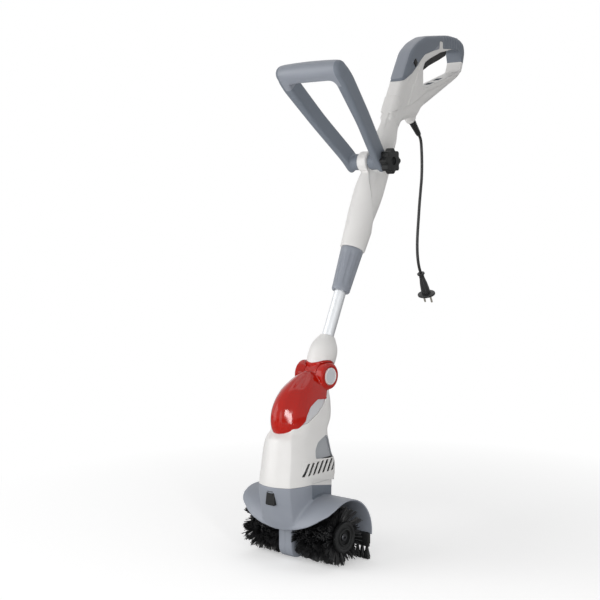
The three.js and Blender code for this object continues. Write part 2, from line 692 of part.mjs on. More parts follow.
function buildCap() {
  const capHigh = cap.low + cap.tall;
  const outer = capLoft(cap.low, capHigh, 0);
  const inner = capLoft(cap.low + cap.wall, capHigh - cap.wall, cap.wall);
  const clear = bodyLoft(housingLow, housingHigh, -gap);
  const aboveHousing = block([-farCut, -cap.tuck, housingHigh - gap], [farCut, farCut, housingHigh + gap]);
  const sweep = rodX(ear.radius + 2 * gap, -farCut, farCut, pivotBack, pivotHeight, roundSides);
  const footFront = pivotBack - earFoot.front - gap;
  const footRoom = block([-ear.outer, footFront, housingHigh], [ear.outer, farCut, pivotHeight]);
  const shell = cut(outer, inner, clear, sweep, aboveHousing, footRoom);
  piece(broom, 'motor_cap', largest(shell), red);
}

// Foot of the stick: a tongue between the ears and a bell that carries the tube
const tube = { radius: 13, wall: 1.6, low: 46, high: 470 };
const tongue = { half: ear.inner - gap, radius: 26 };
const bell = { low: 29.5, high: 93, radius: 32 };
// Rows of the bell: height and radius, as shares of its height and greatest radius
const bellShares = [[0, 0.94], [0.12, 1], [0.45, 0.98], [0.68, 0.86], [0.86, 0.68], [1, 0.53]];
function buildNeck() {
  const bellTall = bell.high - bell.low;
  const profile = bellShares.map(([height, share]) => [share * bell.radius, bell.low + height * bellTall]);
  const dome = turned([[0, bell.low], ...profile, [0, bell.high]]);
  const disc = rodX(tongue.radius, -tongue.half, tongue.half, 0, 0, roundSides);
  const web = block([-tongue.half, -tongue.radius, 0], [tongue.half, tongue.radius, bell.low + overrun]);
  const neck = cut(
    join(dome, disc, web),
    rodX(earBore + gap, -farCut, farCut),
    rodZ(tube.radius + gap, tube.low - gap, bell.high + overrun, 0, 0, roundSides),
  );
  piece(stick, 'neck', neck, white);
  const pipe = turned(hollow(tube.radius, tube.radius - tube.wall, tube.low, tube.high));
  piece(stick, 'lower_tube', pipe, aluminium);
}

// Twist sleeve and the split ring that it squeezes
const sleeve = { low: 191, high: 290, lowRadius: 20, highRadius: 25, step: 12 };
const spigot = { low: 240, radius: 18 };
const collet = { wall: 4, slit: 2 };
function buildSleeve() {
  const bore = tube.radius + gap;
  const cavity = spigot.radius + gap;
  const profile = [
    [bore, sleeve.low], [sleeve.lowRadius, sleeve.low], [sleeve.highRadius, sleeve.high - gap],
    [cavity, sleeve.high - gap], [cavity, sleeve.low + sleeve.step], [bore, sleeve.low + sleeve.step],
    [bore, sleeve.low],
  ];
  piece(stick, 'lock_sleeve', turned(profile), grey);
  const low = sleeve.low + sleeve.step + gap;
  const ring = turned(hollow(spigot.radius, bore, low, spigot.low - gap));
  const slit = block([-collet.slit / 2, 0, low - overrun], [collet.slit / 2, farCut, spigot.low + overrun]);
  piece(stick, 'clamp_collet', cut(ring, slit), black);
}

// Upper shaft: sections along the stick, then the closed hand loop
const shaftLow = sleeve.high;
const shaftTall = 370;
const shaftHalf = 32;
const shellWall = 3;
// Each row: height, half width, front and back, as shares of shaftTall and shaftHalf
const shaftShares = [
  [0.0, 0.86, 0.86, 0.88],
  [0.1, 0.92, 0.92, 0.96],
  [0.24, 1.0, 1.0, 1.03],
  [0.4, 1.0, 1.05, 1.08],
  [0.54, 0.93, 0.98, 1.12],
  [0.68, 0.8, 0.72, 1.06],
  [0.84, 0.72, 0.6, 1.0],
  [1.0, 0.65, 0.6, 1.0],
];
const shaftSides = 16;
const shaftRing = (height, inset, count) => {
  const share = between(shaftShares, (height - shaftLow) / shaftTall);
  const halfX = share[1] * shaftHalf - inset;
  const front = -share[2] * shaftHalf + inset;
  const back = share[3] * shaftHalf - inset;
  return Array.from({ length: count }, (_, i) => {
    const angle = 2 * Math.PI * i / count;
    const y = (front + back) / 2 + (back - front) / 2 * Math.sin(angle);
    return new THREE.Vector3(halfX * Math.cos(angle), y, height);
  });
};
const shaftLoft = (low, high, inset, count) => {
  const levels = shaftShares.map((row) => shaftLow + row[0] * shaftTall);
  const inside = levels.filter((level) => level > low + gap && level < high - gap);
  return solid(loft([low, ...inside, high].map((level) => shaftRing(level, inset, count))));
};
const tubeWayHigh = 603;
const boss = { front: 35, height: 486, radius: 23, half: 12 };
const hubRadius = 18;
const loopHalf = 21;
const loopEdge = 7;
const loopLow = 600;
const loopReach = 204;
const loopTall = 331;
const coverThick = 2;
const innerInset = coverThick + gap + shellWall;
// Outline of the hand loop: back and height, as shares of loopReach and loopTall
const loopShares = [
  [-0.093, 0.0], [-0.09, 0.25], [-0.072, 0.54], [0.003, 0.637], [0.13, 0.73], [0.32, 0.805], [0.54, 0.889],
  [0.72, 0.937], [0.85, 0.935], [0.93, 0.885], [0.945, 0.82], [0.96, 0.728], [0.93, 0.677], [0.69, 0.492],
  [0.42, 0.272], [0.392, 0.175], [0.29, 0.14], [0.16, 0.07], [0.15, 0.0],
];
const loopHoleShares = [
  [0.303, 0.383], [0.21, 0.5], [0.215, 0.545], [0.295, 0.61], [0.446, 0.711], [0.667, 0.821], [0.8, 0.843],
  [0.865, 0.79], [0.875, 0.725],
];
const coverEdgeShares = [
  [-0.6, 0.04], [-0.023, 0.338], [0.053, 0.42], [0.064, 0.479], [0.093, 0.553], [0.2, 0.645], [0.373, 0.745],
  [0.5, 0.8], [0.66, 0.835], [0.74, 0.84], [0.76, 0.79], [1.4, 0.79], [1.4, 1.4], [-0.6, 1.4],
];
const onLoop = (shares) => shares.map(([back, height]) => [back * loopReach, loopLow + height * loopTall]);
// Twice the signed area of an outline, above zero when it runs counterclockwise
const loopTurn = (list) => list.reduce((sum, [u, v], i) => {
  const [un, vn] = list[(i + 1) % list.length];
  return sum + u * vn - un * v;
}, 0);
// The loop plate, drawn in by an inset on every face, the hole's too
const loopPlate = (inset) => {
  const offset = (shares, inward) => {
    const points = onLoop(shares);
    return insetRing(points, loopTurn(points) > 0 ? inward : -inward, 0).map(({ x, y }) => [x, y]);
  };
  const rounded = inset < loopEdge / 2;
  const edge = rounded ? loopEdge - inset : 0;
  const shape = roundOutline(new THREE.Shape(), offset(loopShares, inset), rounded ? 2 * loopEdge : 0);
  const hole = roundOutline(new THREE.Shape(), offset(loopHoleShares, -inset), rounded ? loopEdge : 0);
  const plate = plateX(shape, loopHalf - inset, edge, 1);
  return cut(plate, plateX(hole, loopHalf + overrun, 0, 1));
};

// Trigger in its own frame: along the underside of the top bar, and up into it
const triggerTilt = THREE.MathUtils.degToRad(42);
const trigger = { half: 7, round: 4, edge: 1.2, slotHalf: 8, reach: 125, tall: 32 };
const hingeShares = [0.144, 0.4375];
const triggerHinge = { along: hingeShares[0] * trigger.reach, up: hingeShares[1] * trigger.tall };
const triggerPin = { radius: 2, reach: 13.5, wall: 4, below: 1.2 };
const triggerShares = [
  [0.16, -0.12], [0.38, 0.1], [0.74, 0.21], [1.0, 0.27], [1.04, 0.5], [1.0, 0.74], [0.75, 0.85], [0.45, 0.82],
  [0.15, 0.7], [0.09, 0.2],
];
const loopHole = onLoop(loopHoleShares);
const triggerFrame = new THREE.Group();
triggerFrame.position.set(0, loopHole[1][0], loopHole[1][1]);
triggerFrame.rotation.x = triggerTilt;
stick.add(triggerFrame);
const onTrigger = (shares) => shares.map(([along, up]) => [along * trigger.reach, up * trigger.tall]);
const inStick = (body) => body
  .rotate([THREE.MathUtils.radToDeg(triggerTilt), 0, 0])
  .translate([0, loopHole[1][0], loopHole[1][1]]);
const switchBlock = { from: 32, to: 74, low: 38, high: 54, half: loopHalf - innerInset - gap };

// Cord exit: the strain relief leaves the boss under the loop
const cordRadius = 3.4;
const bootStart = [394.3, 941];
const boot = { startRadius: 7.5, endRadius: 4.6, seat: 12, seatGap: 3 };
const cordPoints = [
  [427.4, 907.2], [431.2, 902.8], [434.2, 897.4], [436.4, 890.6], [438, 880], [439.4, 866], [440.4, 850],
  [440.8, 832], [440.4, 816], [439.2, 800], [437, 784], [434.8, 768], [432.6, 752], [430.8, 736], [429, 718],
  [427.2, 700], [425.4, 682], [424.2, 664], [424, 646], [425.2, 628], [428.2, 611], [433, 596], [439, 584],
];
const plug = {
  long: 55, lean: THREE.MathUtils.degToRad(26), collarRadius: 7.2, collarTall: 3, neckRadius: 5.5,
  bodyRadius: 10, baseRadius: 11, flangeTall: 6, flangeHalfX: 23, flangeHalfY: 18,
};
const plugNeckShare = 0.35;
const plugBodyShare = 0.75;
const plugPin = { radius: 2.4, long: 19, halfPitch: 9.5 };
const cordSides = 8;
const cordSteps = 22;

function toward(from, to) {
  const direction = new THREE.Vector3(0, to[0] - from[0], to[1] - from[1]).normalize();
  return new THREE.Quaternion().setFromUnitVectors(new THREE.Vector3(0, 0, 1), direction);
}
const bootEnd = cordPoints[0];
const bootTurn = toward(bootStart, bootEnd);

// Black lock button on the right side of the loop, four-sided with a corner up
const lock = { back: 10, height: 760, radius: 8, proud: 2.2, deep: 8, sides: 4 };
const lockShape = (grow, from, to) => rodX(lock.radius + grow, from, to, lock.back, lock.height, lock.sides);
stick.updateMatrixWorld(true);
const toStick = stick.matrixWorld.clone().invert();

// Clamp bolt and knob of the second handle
const bolt = { radius: 4, head: 7.5, headTall: 5, headSides: 6 };

function buildUpper() {
  const boltHole = rodX(bolt.radius + gap, -farCut, farCut, -boss.front, boss.height);
  const bossDisc = rodX(boss.radius, -boss.half, boss.half, -boss.front, boss.height, roundSides);
  const outerShaft = shaftLoft(shaftLow, shaftLow + shaftTall, 0, shaftSides);
  const innerLow = shaftLow + 2 * shellWall;
  const innerShaft = shaftLoft(innerLow, shaftLow + shaftTall - overrun, shellWall, shaftSides / 2);
  const spigotRod = rodZ(spigot.radius, spigot.low, shaftLow + shellWall, 0, 0, roundSides);
  const tubeWay = rodZ(tube.radius + 2 * gap, spigot.low - overrun, tubeWayHigh, 0, 0, roundSides);
  const saddle = [hubRadius + shellWall, hubRadius + 2 * gap].map((radius) => (
    cut(
      rodX(radius, -farCut, farCut, -boss.front, boss.height, roundSides),
      rodX(radius + overrun, -boss.half, boss.half, -boss.front, boss.height, rodSides / 2),
    )
  ));
  const cover = outlineX(onLoop(coverEdgeShares), gap, loopHalf * 2);
  const plate = loopPlate(0);
  const beneath = loopPlate(coverThick + gap);
  const openInside = loopPlate(innerInset);
  const triggerOutline = onTrigger(triggerShares);
  const lowered = triggerOutline.map(([along, up]) => [along, up - triggerPin.below]);
  const slot = inStick(outlineX(lowered, gap, trigger.slotHalf));
  const slotSweep = inStick(block(
    [-trigger.slotHalf, triggerHinge.along - triggerPin.radius - triggerPin.wall, 0],
    [trigger.slotHalf, trigger.reach + 2 * triggerPin.wall, trigger.tall + overrun],
  ));
  const holeRadius = boot.startRadius + gap;
  const bootHole = new THREE.CylinderGeometry(holeRadius, holeRadius, 2 * boot.seat, rodSides);
  alongZ(bootHole).applyQuaternion(bootTurn).translate(0, ...bootStart).applyMatrix4(toStick);
  const pinAt = (radius, half) => rodX(radius, -half, half, triggerHinge.along, triggerHinge.up, rodSides);
  const pinHole = inStick(pinAt(triggerPin.radius + gap, triggerPin.reach + gap));
  const lockHole = lockShape(gap, 0, farCut);
  const shell = cut(
    join(
      cut(join(outerShaft, spigotRod, join(cut(plate, cover), beneath)), innerShaft, openInside),
      saddle[0].intersect(outerShaft),
      bossDisc,
    ),
    saddle[1], tubeWay, boltHole, slot, slotSweep, solid(bootHole), pinHole, lockHole,
  );
  for (const [name, side] of sides) {
    piece(stick, `upper_shaft_${name}`, largest(sideOf(shell, side)), white);
  }
  const skin = cut(plate.intersect(cover), loopPlate(coverThick), slotSweep, lockHole);
  piece(stick, 'grip_cover', largest(skin), grey);

  const bar = outlineX(triggerOutline, trigger.round, trigger.half, trigger.edge);
  piece(triggerFrame, 'trigger', cut(bar, pinAt(triggerPin.radius + gap, farCut)), black);
  piece(triggerFrame, 'trigger_pin', pinAt(triggerPin.radius, triggerPin.reach), steel);
  const { from, to, low, high, half } = switchBlock;
  piece(triggerFrame, 'switch_block', block([-half, from, low], [half, to, high]), black);
  piece(stick, 'lock_button', lockShape(0, loopHalf - lock.deep, loopHalf + lock.proud), black);
}

function buildCord() {
  const cordPiece = (name, geometry, look) => {
    cordNames.push(name);
    return piece(broom, name, geometry, look);
  };
  const bootLong = Math.hypot(bootEnd[0] - bootStart[0], bootEnd[1] - bootStart[1]) - gap;
  const bootFoot = boot.seatGap - boot.seat;
  const bootBody = turned([
    [0, bootFoot], [boot.startRadius, bootFoot], [boot.startRadius, 0],
    [boot.endRadius, bootLong], [0, bootLong],
  ], rodSides);
  const bootGeometry = surface(bootBody).applyQuaternion(bootTurn).translate(0, ...bootStart);
  piece(broom, 'cord_boot', bootGeometry, rubber);

  const route = new THREE.CatmullRomCurve3(cordPoints.map(([y, z]) => new THREE.Vector3(0, y, z)));
  const section = new THREE.Shape(Array.from({ length: cordSides }, (_, i) => {
    const angle = 2 * Math.PI * i / cordSides;
    return new THREE.Vector2(cordRadius * Math.cos(angle), cordRadius * Math.sin(angle));
  }));
  const cord = new THREE.ExtrudeGeometry(section, { steps: cordSteps, extrudePath: route });
  cordPiece('mains_cord', cord, rubber);

  const plugTurn = new THREE.Quaternion().setFromAxisAngle(new THREE.Vector3(1, 0, 0), Math.PI + plug.lean);
  const place = (body) => surface(body).applyQuaternion(plugTurn).translate(0, ...cordPoints.at(-1));
  const flangeHigh = plug.long + plug.flangeTall;
  const stem = turned([
    [0, gap], [plug.collarRadius, gap], [plug.collarRadius, plug.collarTall],
    [plug.neckRadius, plug.collarTall + gap], [plug.neckRadius, plug.long * plugNeckShare],
    [plug.bodyRadius, plug.long * plugBodyShare], [plug.baseRadius, plug.long], [0, plug.long],
  ], rodSides);
  const flangeSize = [plug.flangeHalfX / plug.baseRadius, plug.flangeHalfY / plug.baseRadius, 1];
  const flange = rodZ(plug.baseRadius, plug.long - gap, flangeHigh, 0, 0, roundSides).scale(flangeSize);
  const pinAt = (side, radius, high) => rodZ(radius, plug.long + gap, high, side * plugPin.halfPitch);
  const pinHoles = sides.map(([, side]) => pinAt(side, plugPin.radius + gap, flangeHigh + overrun));
  cordPiece('plug_body', place(cut(join(stem, flange), ...pinHoles)), rubber);
  for (const [name, side] of sides) {
    const pin = pinAt(side, plugPin.radius, flangeHigh + plugPin.long).translate([0, 0, gap]);
    cordPiece(`plug_pin_${name}`, place(pin), brass);
  }
}

// Second handle: two arms and a bar, clamped at the boss
const aux = {
  long: 260, hubHalf: 32, outerFoot: 50, outerTop: 85, innerTop: 64, openingDrop: 24, topInset: 3, topRise: 16,
  armDeep: 19, armRound: 10, armEdge: 6, armSeat: 4, barRadius: 22.5, barHalf: 84,
};
const auxLean = THREE.MathUtils.degToRad(72.4);
const knob = {
  radius: 28, lobeDeep: 5, lobes: 8, edge: 2, clear: 0.6, collar: 4, collarRadius: 13, thick: 19,
  insertRadius: 7, insertLong: 14,
};
const lobePoints = 4;
const auxFrame = new THREE.Group();
auxFrame.position.set(0, -boss.front, boss.height);
auxFrame.rotation.x = auxLean;
stick.add(auxFrame);
function buildAux() {
  const opening = aux.long - aux.openingDrop;
  const outerSide = [
    [aux.outerFoot, -hubRadius], [aux.outerFoot, hubRadius], [aux.outerTop, opening],
    [aux.outerTop - aux.topInset, aux.long + aux.topRise],
  ];
  const innerSide = [[aux.hubHalf, -hubRadius], [aux.hubHalf, hubRadius], [aux.innerTop, opening]];
  const mirrored = (list) => list.map(([x, z]) => [-x, z]);
  const outline = [
    ...outerSide, ...mirrored(outerSide).reverse(), ...mirrored(innerSide), ...innerSide.reverse(),
  ];
  const frameShape = roundOutline(new THREE.Shape(), outline, aux.armRound);
  const depth = 2 * (aux.armDeep - aux.armEdge);
  const bevel = { bevelSize: aux.armEdge, bevelThickness: aux.armEdge, bevelOffset: -aux.armEdge };
  const options = { ...bevel, bevelSegments: 1, depth, curveSegments: 1 };
  const frame = new THREE.ExtrudeGeometry(frameShape, options);
  const arms = solid(alongZ(frame.translate(0, 0, -depth / 2)));
  const bar = rodX(aux.barRadius, -aux.barHalf, aux.barHalf, 0, aux.long, roundSides);
  const hubs = sides.map(([, side]) => (
    rodX(hubRadius, ...span(side, boss.half + gap, aux.hubHalf + aux.armSeat), 0, 0, roundSides)
  ));
  const hole = rodX(bolt.radius + gap, -farCut, farCut);
  piece(auxFrame, 'aux_handle', cut(join(arms, bar, ...hubs), hole), grey);

  const knobFrom = aux.outerFoot + knob.clear;
  const faceFrom = knobFrom + knob.collar;
  const boltEnd = faceFrom + knob.insertLong - gap;
  const headFrom = aux.outerFoot + gap;
  const head = rodX(bolt.head, -headFrom - bolt.headTall, -headFrom, 0, 0, bolt.headSides);
  piece(auxFrame, 'aux_bolt', join(head, rodX(bolt.radius, -headFrom - gap, boltEnd)), steel);
  const swing = knob.lobeDeep / 2;
  const lobed = new THREE.Shape(Array.from({ length: knob.lobes * lobePoints }, (_, i) => {
    const angle = 2 * Math.PI * i / (knob.lobes * lobePoints);
    const radius = knob.radius - swing + swing * Math.cos(knob.lobes * angle);
    return new THREE.Vector2(radius * Math.cos(angle), radius * Math.sin(angle));
  }));
  const star = plateX(lobed, knob.thick / 2, knob.edge).translate([faceFrom + knob.thick / 2, 0, 0]);
  const collar = rodX(knob.collarRadius, knobFrom, faceFrom + gap);
  const roomEnd = faceFrom + knob.insertLong + gap;
  const insertRoom = rodX(knob.insertRadius + gap, faceFrom, roomEnd, 0, 0, bolt.headSides);
  const boltRoom = rodX(bolt.radius + gap, knobFrom - overrun, faceFrom + gap);
  piece(auxFrame, 'star_knob', cut(join(star, collar), insertRoom, boltRoom), black);
  const insert = cut(
    rodX(knob.insertRadius, faceFrom + gap, faceFrom + knob.insertLong, 0, 0, bolt.headSides),
    rodX(bolt.radius + gap, -farCut, farCut),
  );
  piece(auxFrame, 'knob_insert', insert, brass);
}

buildGuard();
buildRearBrush();
buildDrums();
buildWheel();
buildRotor();
buildLeg();
buildHousing();
buildPivot();
buildCap();
buildNeck();
buildSleeve();
buildUpper();
buildCord();
buildAux();

// The origin is the middle of the footprint of everything but the free cord, on the ground
whole.updateMatrixWorld(true);
const reach = new THREE.Box3();
whole.traverse((node) => {
  if (node.isMesh && !cordNames.includes(node.name)) reach.expandByObject(node, true);
});
const footprint = reach.getCenter(new THREE.Vector3());
broom.position.set(-footprint.x, -footprint.y, -reach.min.z);

export default whole;
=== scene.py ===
import json
import math
import random

import bmesh
import bpy
from mathutils import Matrix, Vector


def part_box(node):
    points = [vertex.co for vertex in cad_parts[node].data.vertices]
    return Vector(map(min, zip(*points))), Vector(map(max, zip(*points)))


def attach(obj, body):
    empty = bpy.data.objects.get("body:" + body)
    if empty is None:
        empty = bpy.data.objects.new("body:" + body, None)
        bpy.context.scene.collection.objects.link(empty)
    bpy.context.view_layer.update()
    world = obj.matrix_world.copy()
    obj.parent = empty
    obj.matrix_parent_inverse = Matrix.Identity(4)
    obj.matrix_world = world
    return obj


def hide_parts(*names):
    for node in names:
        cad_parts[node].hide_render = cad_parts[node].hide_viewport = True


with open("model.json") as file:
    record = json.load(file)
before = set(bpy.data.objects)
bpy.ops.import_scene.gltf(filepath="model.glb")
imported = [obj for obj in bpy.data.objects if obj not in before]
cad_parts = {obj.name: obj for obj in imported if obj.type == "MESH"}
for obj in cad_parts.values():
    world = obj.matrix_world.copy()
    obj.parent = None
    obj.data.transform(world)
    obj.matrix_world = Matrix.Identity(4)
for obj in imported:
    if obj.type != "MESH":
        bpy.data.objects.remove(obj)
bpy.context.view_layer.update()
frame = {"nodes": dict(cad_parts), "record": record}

# Working sizes are in millimetres. Each frame below turns them into metres in place.
MM = 0.001
# Height of the brush axle, the tilt pivot, and the second handle's clamp in the stick's own frame
AXLE = 62
PIVOT = Vector((0, 50, 383))
STICK_LEAN = -25
CLAMP_AT = Vector((0, -35, 486))
CLAMP_TURN = 72.4


def tip(degrees):
    """A turn about X."""
    return Matrix.Rotation(math.radians(degrees), 4, "X")


def placed(name, data):
    """A new object in the scene."""
    obj = bpy.data.objects.new(name, data)
    bpy.context.scene.collection.objects.link(obj)
    return obj


axle_low, axle_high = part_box("brush_shaft")
HEAD = Matrix.Translation((0, (axle_low.y + axle_high.y) / 2, 0)) @ Matrix.Scale(MM, 4)
STICK = HEAD @ Matrix.Translation(PIVOT) @ tip(STICK_LEAN)
CLAMP = STICK @ Matrix.Translation(CLAMP_AT) @ tip(CLAMP_TURN)

# ---- camera

# The camera fitted to the photograph
CAMERA_AT = Vector((1555.3, -1858.9, 731.6))
AZIMUTH, DROP = math.radians(40), math.radians(4.4)

camera_data = bpy.data.cameras.new("camera")
camera_data.lens = 70.02
camera_data.sensor_width = 36
camera = placed("camera", camera_data)
camera.location = HEAD @ CAMERA_AT
looking = Vector((-math.sin(AZIMUTH) * math.cos(DROP), math.cos(AZIMUTH) * math.cos(DROP), -math.sin(DROP)))
camera.rotation_euler = looking.to_track_quat("-Z", "Y").to_euler()
bpy.context.scene.camera = camera


# ---- finishes

def linear(code):
    """An sRGB hex colour as the linear values that the shader takes."""
    values = [int(code[i:i + 2], 16) / 255 for i in (1, 3, 5)]
    return [v / 12.92 if v <= 0.04045 else ((v + 0.055) / 1.055) ** 2.4 for v in values] + [1.0]


def add(tree, kind, sockets=None, **settings):
    """One shader node with its settings, its socket values and its links."""
    item = tree.nodes.new(f"ShaderNode{kind}")
    for key, value in settings.items():
        setattr(item, key, value)
    for key, value in (sockets or {}).items():
        if isinstance(value, bpy.types.NodeSocket):
            tree.links.new(value, item.inputs[key])
        else:
            item.inputs[key].default_value = value
    return item


def started(name, **shader):
    """A new material with its shader's own values set."""
    material = bpy.data.materials.new(name)
    material.use_nodes = True
    tree = material.node_tree
    surface = next(item for item in tree.nodes if item.type == "BSDF_PRINCIPLED")
    for key, value in shader.items():
        surface.inputs[key.replace("_", " ")].default_value = value
    place = add(tree, "TexCoord").outputs["Object"]
    return material, tree, surface, place


def noise(tree, place, size, detail):
    """A noise with features of a size in millimetres."""
    return add(tree, "TexNoise", {"Vector": place, "Scale": 1 / (size * MM), "Detail": detail}).outputs["Fac"]


def varied(tree, surface, broad, fine, tones, roughness, play, depth, strength):
    """A tone and a sheen that follow one noise, and a relief in millimetres that follows another."""
    tone = add(tree, "Mix", {"Factor": broad}, data_type="RGBA")
    for socket, code in zip((6, 7), tones):
        tone.inputs[socket].default_value = linear(code)
    sheen = add(tree, "MapRange", {
        "Value": broad, "From Min": 0.3, "From Max": 0.7, "To Min": roughness - play, "To Max": roughness + play,
    })
    relief = add(tree, "Bump", {"Height": fine, "Distance": depth * MM, "Strength": strength})
    for socket, output in (("Base Color", tone.outputs[2]), ("Roughness", sheen.outputs[0]),
                           ("Normal", relief.outputs[0])):
        tree.links.new(output, surface.inputs[socket])


def moulded(name, colour, shade, roughness, grain, depth, cloud=45, IOR=1.53, **shader):
    """Injection moulded plastic: slow clouds of tone and sheen, and a grain, both sized in millimetres."""
    material, tree, surface, place = started(name, IOR=IOR, **shader)
    slow, fine = noise(tree, place, cloud, 3.0), noise(tree, place, grain, 4.0)
    varied(tree, surface, slow, fine, (shade, colour), roughness, 0.05, depth, 0.6)
    return material


def machined(name, colour, shade, roughness, streak, depth, across=(1, 1, 1)):
    """Bare metal: streaks of a size in millimetres, drawn out along the axes that have a small share."""
    material, tree, surface, place = started(name, Metallic=1.0)
    drawn = add(tree, "Mapping", {"Vector": place, "Scale": across}).outputs["Vector"]
    marks = noise(tree, drawn, streak, 5.0)
    varied(tree, surface, marks, marks, (shade, colour), roughness, 0.06, depth, 0.5)
    return material


# Satin ABS, moulded in a polished tool: a warm white with a soft wide highlight and faint flow clouds.
WHITE_ABS = moulded("satin_white_abs", "#e6e5e3", "#dfdddb", 0.36, 1.6, 0.02)
# Talc-filled polypropylene, moulded: cool grey with a duller, slightly grainy sheen.
GREY_PP = moulded("grey_polypropylene", "#8f949d", "#868b95", 0.44, 1.8, 0.04, IOR=1.49)
# The same grey from a spark-eroded tool: a leathery grain that scatters the light and looks darker. Its darker
# colour also serves as painted shade on the notch floor, in the shaft's recesses and on the grip cover's top and
# flanks.
GRAIN_AND_SHADE_GREY = moulded("grained_grey_pp_and_painted_shade", "#767d87", "#6c737d", 0.56, 2.4, 0.12, IOR=1.49)
# Smooth light grey polypropylene where the hand rests.
GREY_SMOOTH = moulded("smooth_light_grey_polypropylene", "#90959e", "#878c96", 0.4, 2.0, 0.03, IOR=1.49)
# Pale grey ABS of the side panel and the faces at the pivot.
GREY_PANEL = moulded("pale_grey_abs", "#d2d3d6", "#c9cbcf", 0.45, 1.8, 0.03)
# Silver-grey ABS of the small side inlay.
GREY_INLAY = moulded("silver_grey_abs", "#a6a9ad", "#9a9da2", 0.38, 1.8, 0.03)
# High-gloss red ABS: deep colour under a clear, sharp highlight.
RED_ABS = moulded("polished_red_abs", "#b81604", "#ab1203", 0.1, 3.0, 0.004, IOR=1.54,
                  Specular_IOR_Level=0.29)
# Glass-filled nylon, moulded: near black with a fine dull grain.
BLACK_NYLON = moulded("black_glass_filled_nylon", "#141516", "#0d0e0f", 0.55, 1.6, 0.06,
                     Specular_IOR_Level=0.3)
# Extruded polypropylene filament for the bristles: black with a narrow sheen along each strand.
FILAMENT = moulded("black_polypropylene_filament", "#17181a", "#0b0b0c", 0.42, 6.0, 0.02, cloud=9, IOR=1.49)
# Soft PVC of the lead, the boot and the plug.
SOFT_PVC = moulded("black_soft_pvc", "#161617", "#101011", 0.48, 1.4, 0.03)
# Painted shade: near black for the unlit inside of the housing, seen through the vents.
INNER_SHADE = moulded("painted_shade_interior", "#131314", "#0e0e0f", 0.7, 2.0, 0.05)
# Drawn aluminium tube, satin anodised: fine draw lines run along it.
ALUMINIUM = machined("satin_anodised_aluminium", "#d9dbdd", "#d0d2d5", 0.42, 2.2, 0.003, across=(1, 1, 0.04))
# Zinc plated steel of the shafts, the pins and the bolt.
ZINC_STEEL = machined("zinc_plated_steel", "#bcbfc2", "#a5a8ac", 0.34, 1.5, 0.02)
# Steel of the end screws, made dark as painted shade at the brush ends under the hood, with a dull metal sheen.
BLACK_STEEL = machined("steel_darkened_as_shade", "#4a4b4e", "#39393b", 0.42, 1.5, 0.02)
# Ground bearing steel.
BEARING_STEEL = machined("ground_bearing_steel", "#b4b6b9", "#a0a2a6", 0.24, 1.2, 0.01, across=(0.1, 1, 1))
# Cast and hobbed brass.
BRASS = machined("machined_brass", "#c9a45a", "#b38f49", 0.3, 1.5, 0.02)
# Nickel plated pins of the plug.
NICKEL = machined("nickel_plated_brass", "#c9c5ba", "#b5b0a4", 0.25, 1.2, 0.01)
# Varnished copper of the windings and the commutator, with turns about 1.2 mm apart.
COPPER = machined("varnished_copper", "#b66a3c", "#93502b", 0.35, 1.2, 0.05, across=(1, 1, 0.15))
# Stacked electrical steel, with the sheets' edges drawn 2 mm apart so that they show.
LAMINATION = machined("laminated_electrical_steel", "#8e9093", "#76787b", 0.45, 2.0, 0.06,
                      across=(0.05, 0.05, 1))
# Pressed carbon of the motor's contacts.
CARBON = moulded("pressed_carbon", "#2c2c2e", "#222224", 0.65, 1.0, 0.04, IOR=1.5)

BODY_OF = {node: body for body, nodes in frame["record"]["behaviour"]["bodies"].items() for node in nodes}

for material, nodes in (
    (ZINC_STEEL, ("brush_shaft", "pivot_pin", "aux_bolt", "trigger_pin", "worm_shaft")),
    (BEARING_STEEL, ("upper_bearing", "lower_bearing", "leg_bearing_left", "leg_bearing_right")),
    (BRASS, ("worm_wheel", "knob_insert")),
    (COPPER, ("motor_armature", "motor_commutator")),
    (LAMINATION, ("motor_stator",)),
    (CARBON, ("left_carbon_brush", "right_carbon_brush")),
    (BLACK_NYLON, ("motor_fan", "clamp_collet", "switch_block")),
):
    for node in nodes:
        frame["nodes"][node].material_slots[0].material = material


# ---- shaping tools

def between(rows, at):
    """The values of a table at a place in its first column, on a smooth curve through its rows."""
    at = min(max(at, rows[0][0]), rows[-1][0])
    i = max(k for k in range(len(rows) - 1) if rows[k][0] <= at)
    before, low, high, after = rows[max(i - 1, 0)], rows[i], rows[i + 1], rows[min(i + 2, len(rows) - 1)]
    span = high[0] - low[0]
    t = (at - low[0]) / span
    values = []
    for a, b, c, d in zip(before, low, high, after):
        rise_low = (c - a) / (high[0] - before[0]) * span
        rise_high = (d - b) / (after[0] - low[0]) * span
        values.append(
            b * (2 * t ** 3 - 3 * t ** 2 + 1) + rise_low * (t ** 3 - 2 * t ** 2 + t)
            + c * (3 * t ** 2 - 2 * t ** 3) + rise_high * (t ** 3 - t ** 2)
        )
    return values


def spread(low, high, step):
    """Even steps from low to high, both kept."""
    count = max(1, round((high - low) / step))
    return [low + (high - low) * i / count for i in range(count + 1)]


def rounded(corners, reach, steps=6):
    """An outline with a short curve at each corner."""
    points = []
    for i, corner in enumerate(corners):
        corner = Vector(corner)
        before = Vector(corners[i - 1]) - corner
        after = Vector(corners[(i + 1) % len(corners)]) - corner
        start = corner + before.normalized() * min(reach, before.length / 2)
        end = corner + after.normalized() * min(reach, after.length / 2)
        for step in range(steps + 1):
            t = step / steps
            point = start.lerp(corner, t).lerp(corner.lerp(end, t), t)
            if not points or (point - points[-1]).length > 0.05:
                points.append(point)
    if (points[0] - points[-1]).length <= 0.05:
        points.pop()
    return points


def softened(points, times):
    """An outline with its corners eased by averaging each point with its neighbours."""
    for _ in range(times):
        points = [
            (points[i - 1] + 2 * point + points[(i + 1) % len(points)]) / 4 for i, point in enumerate(points)
        ]
    return points


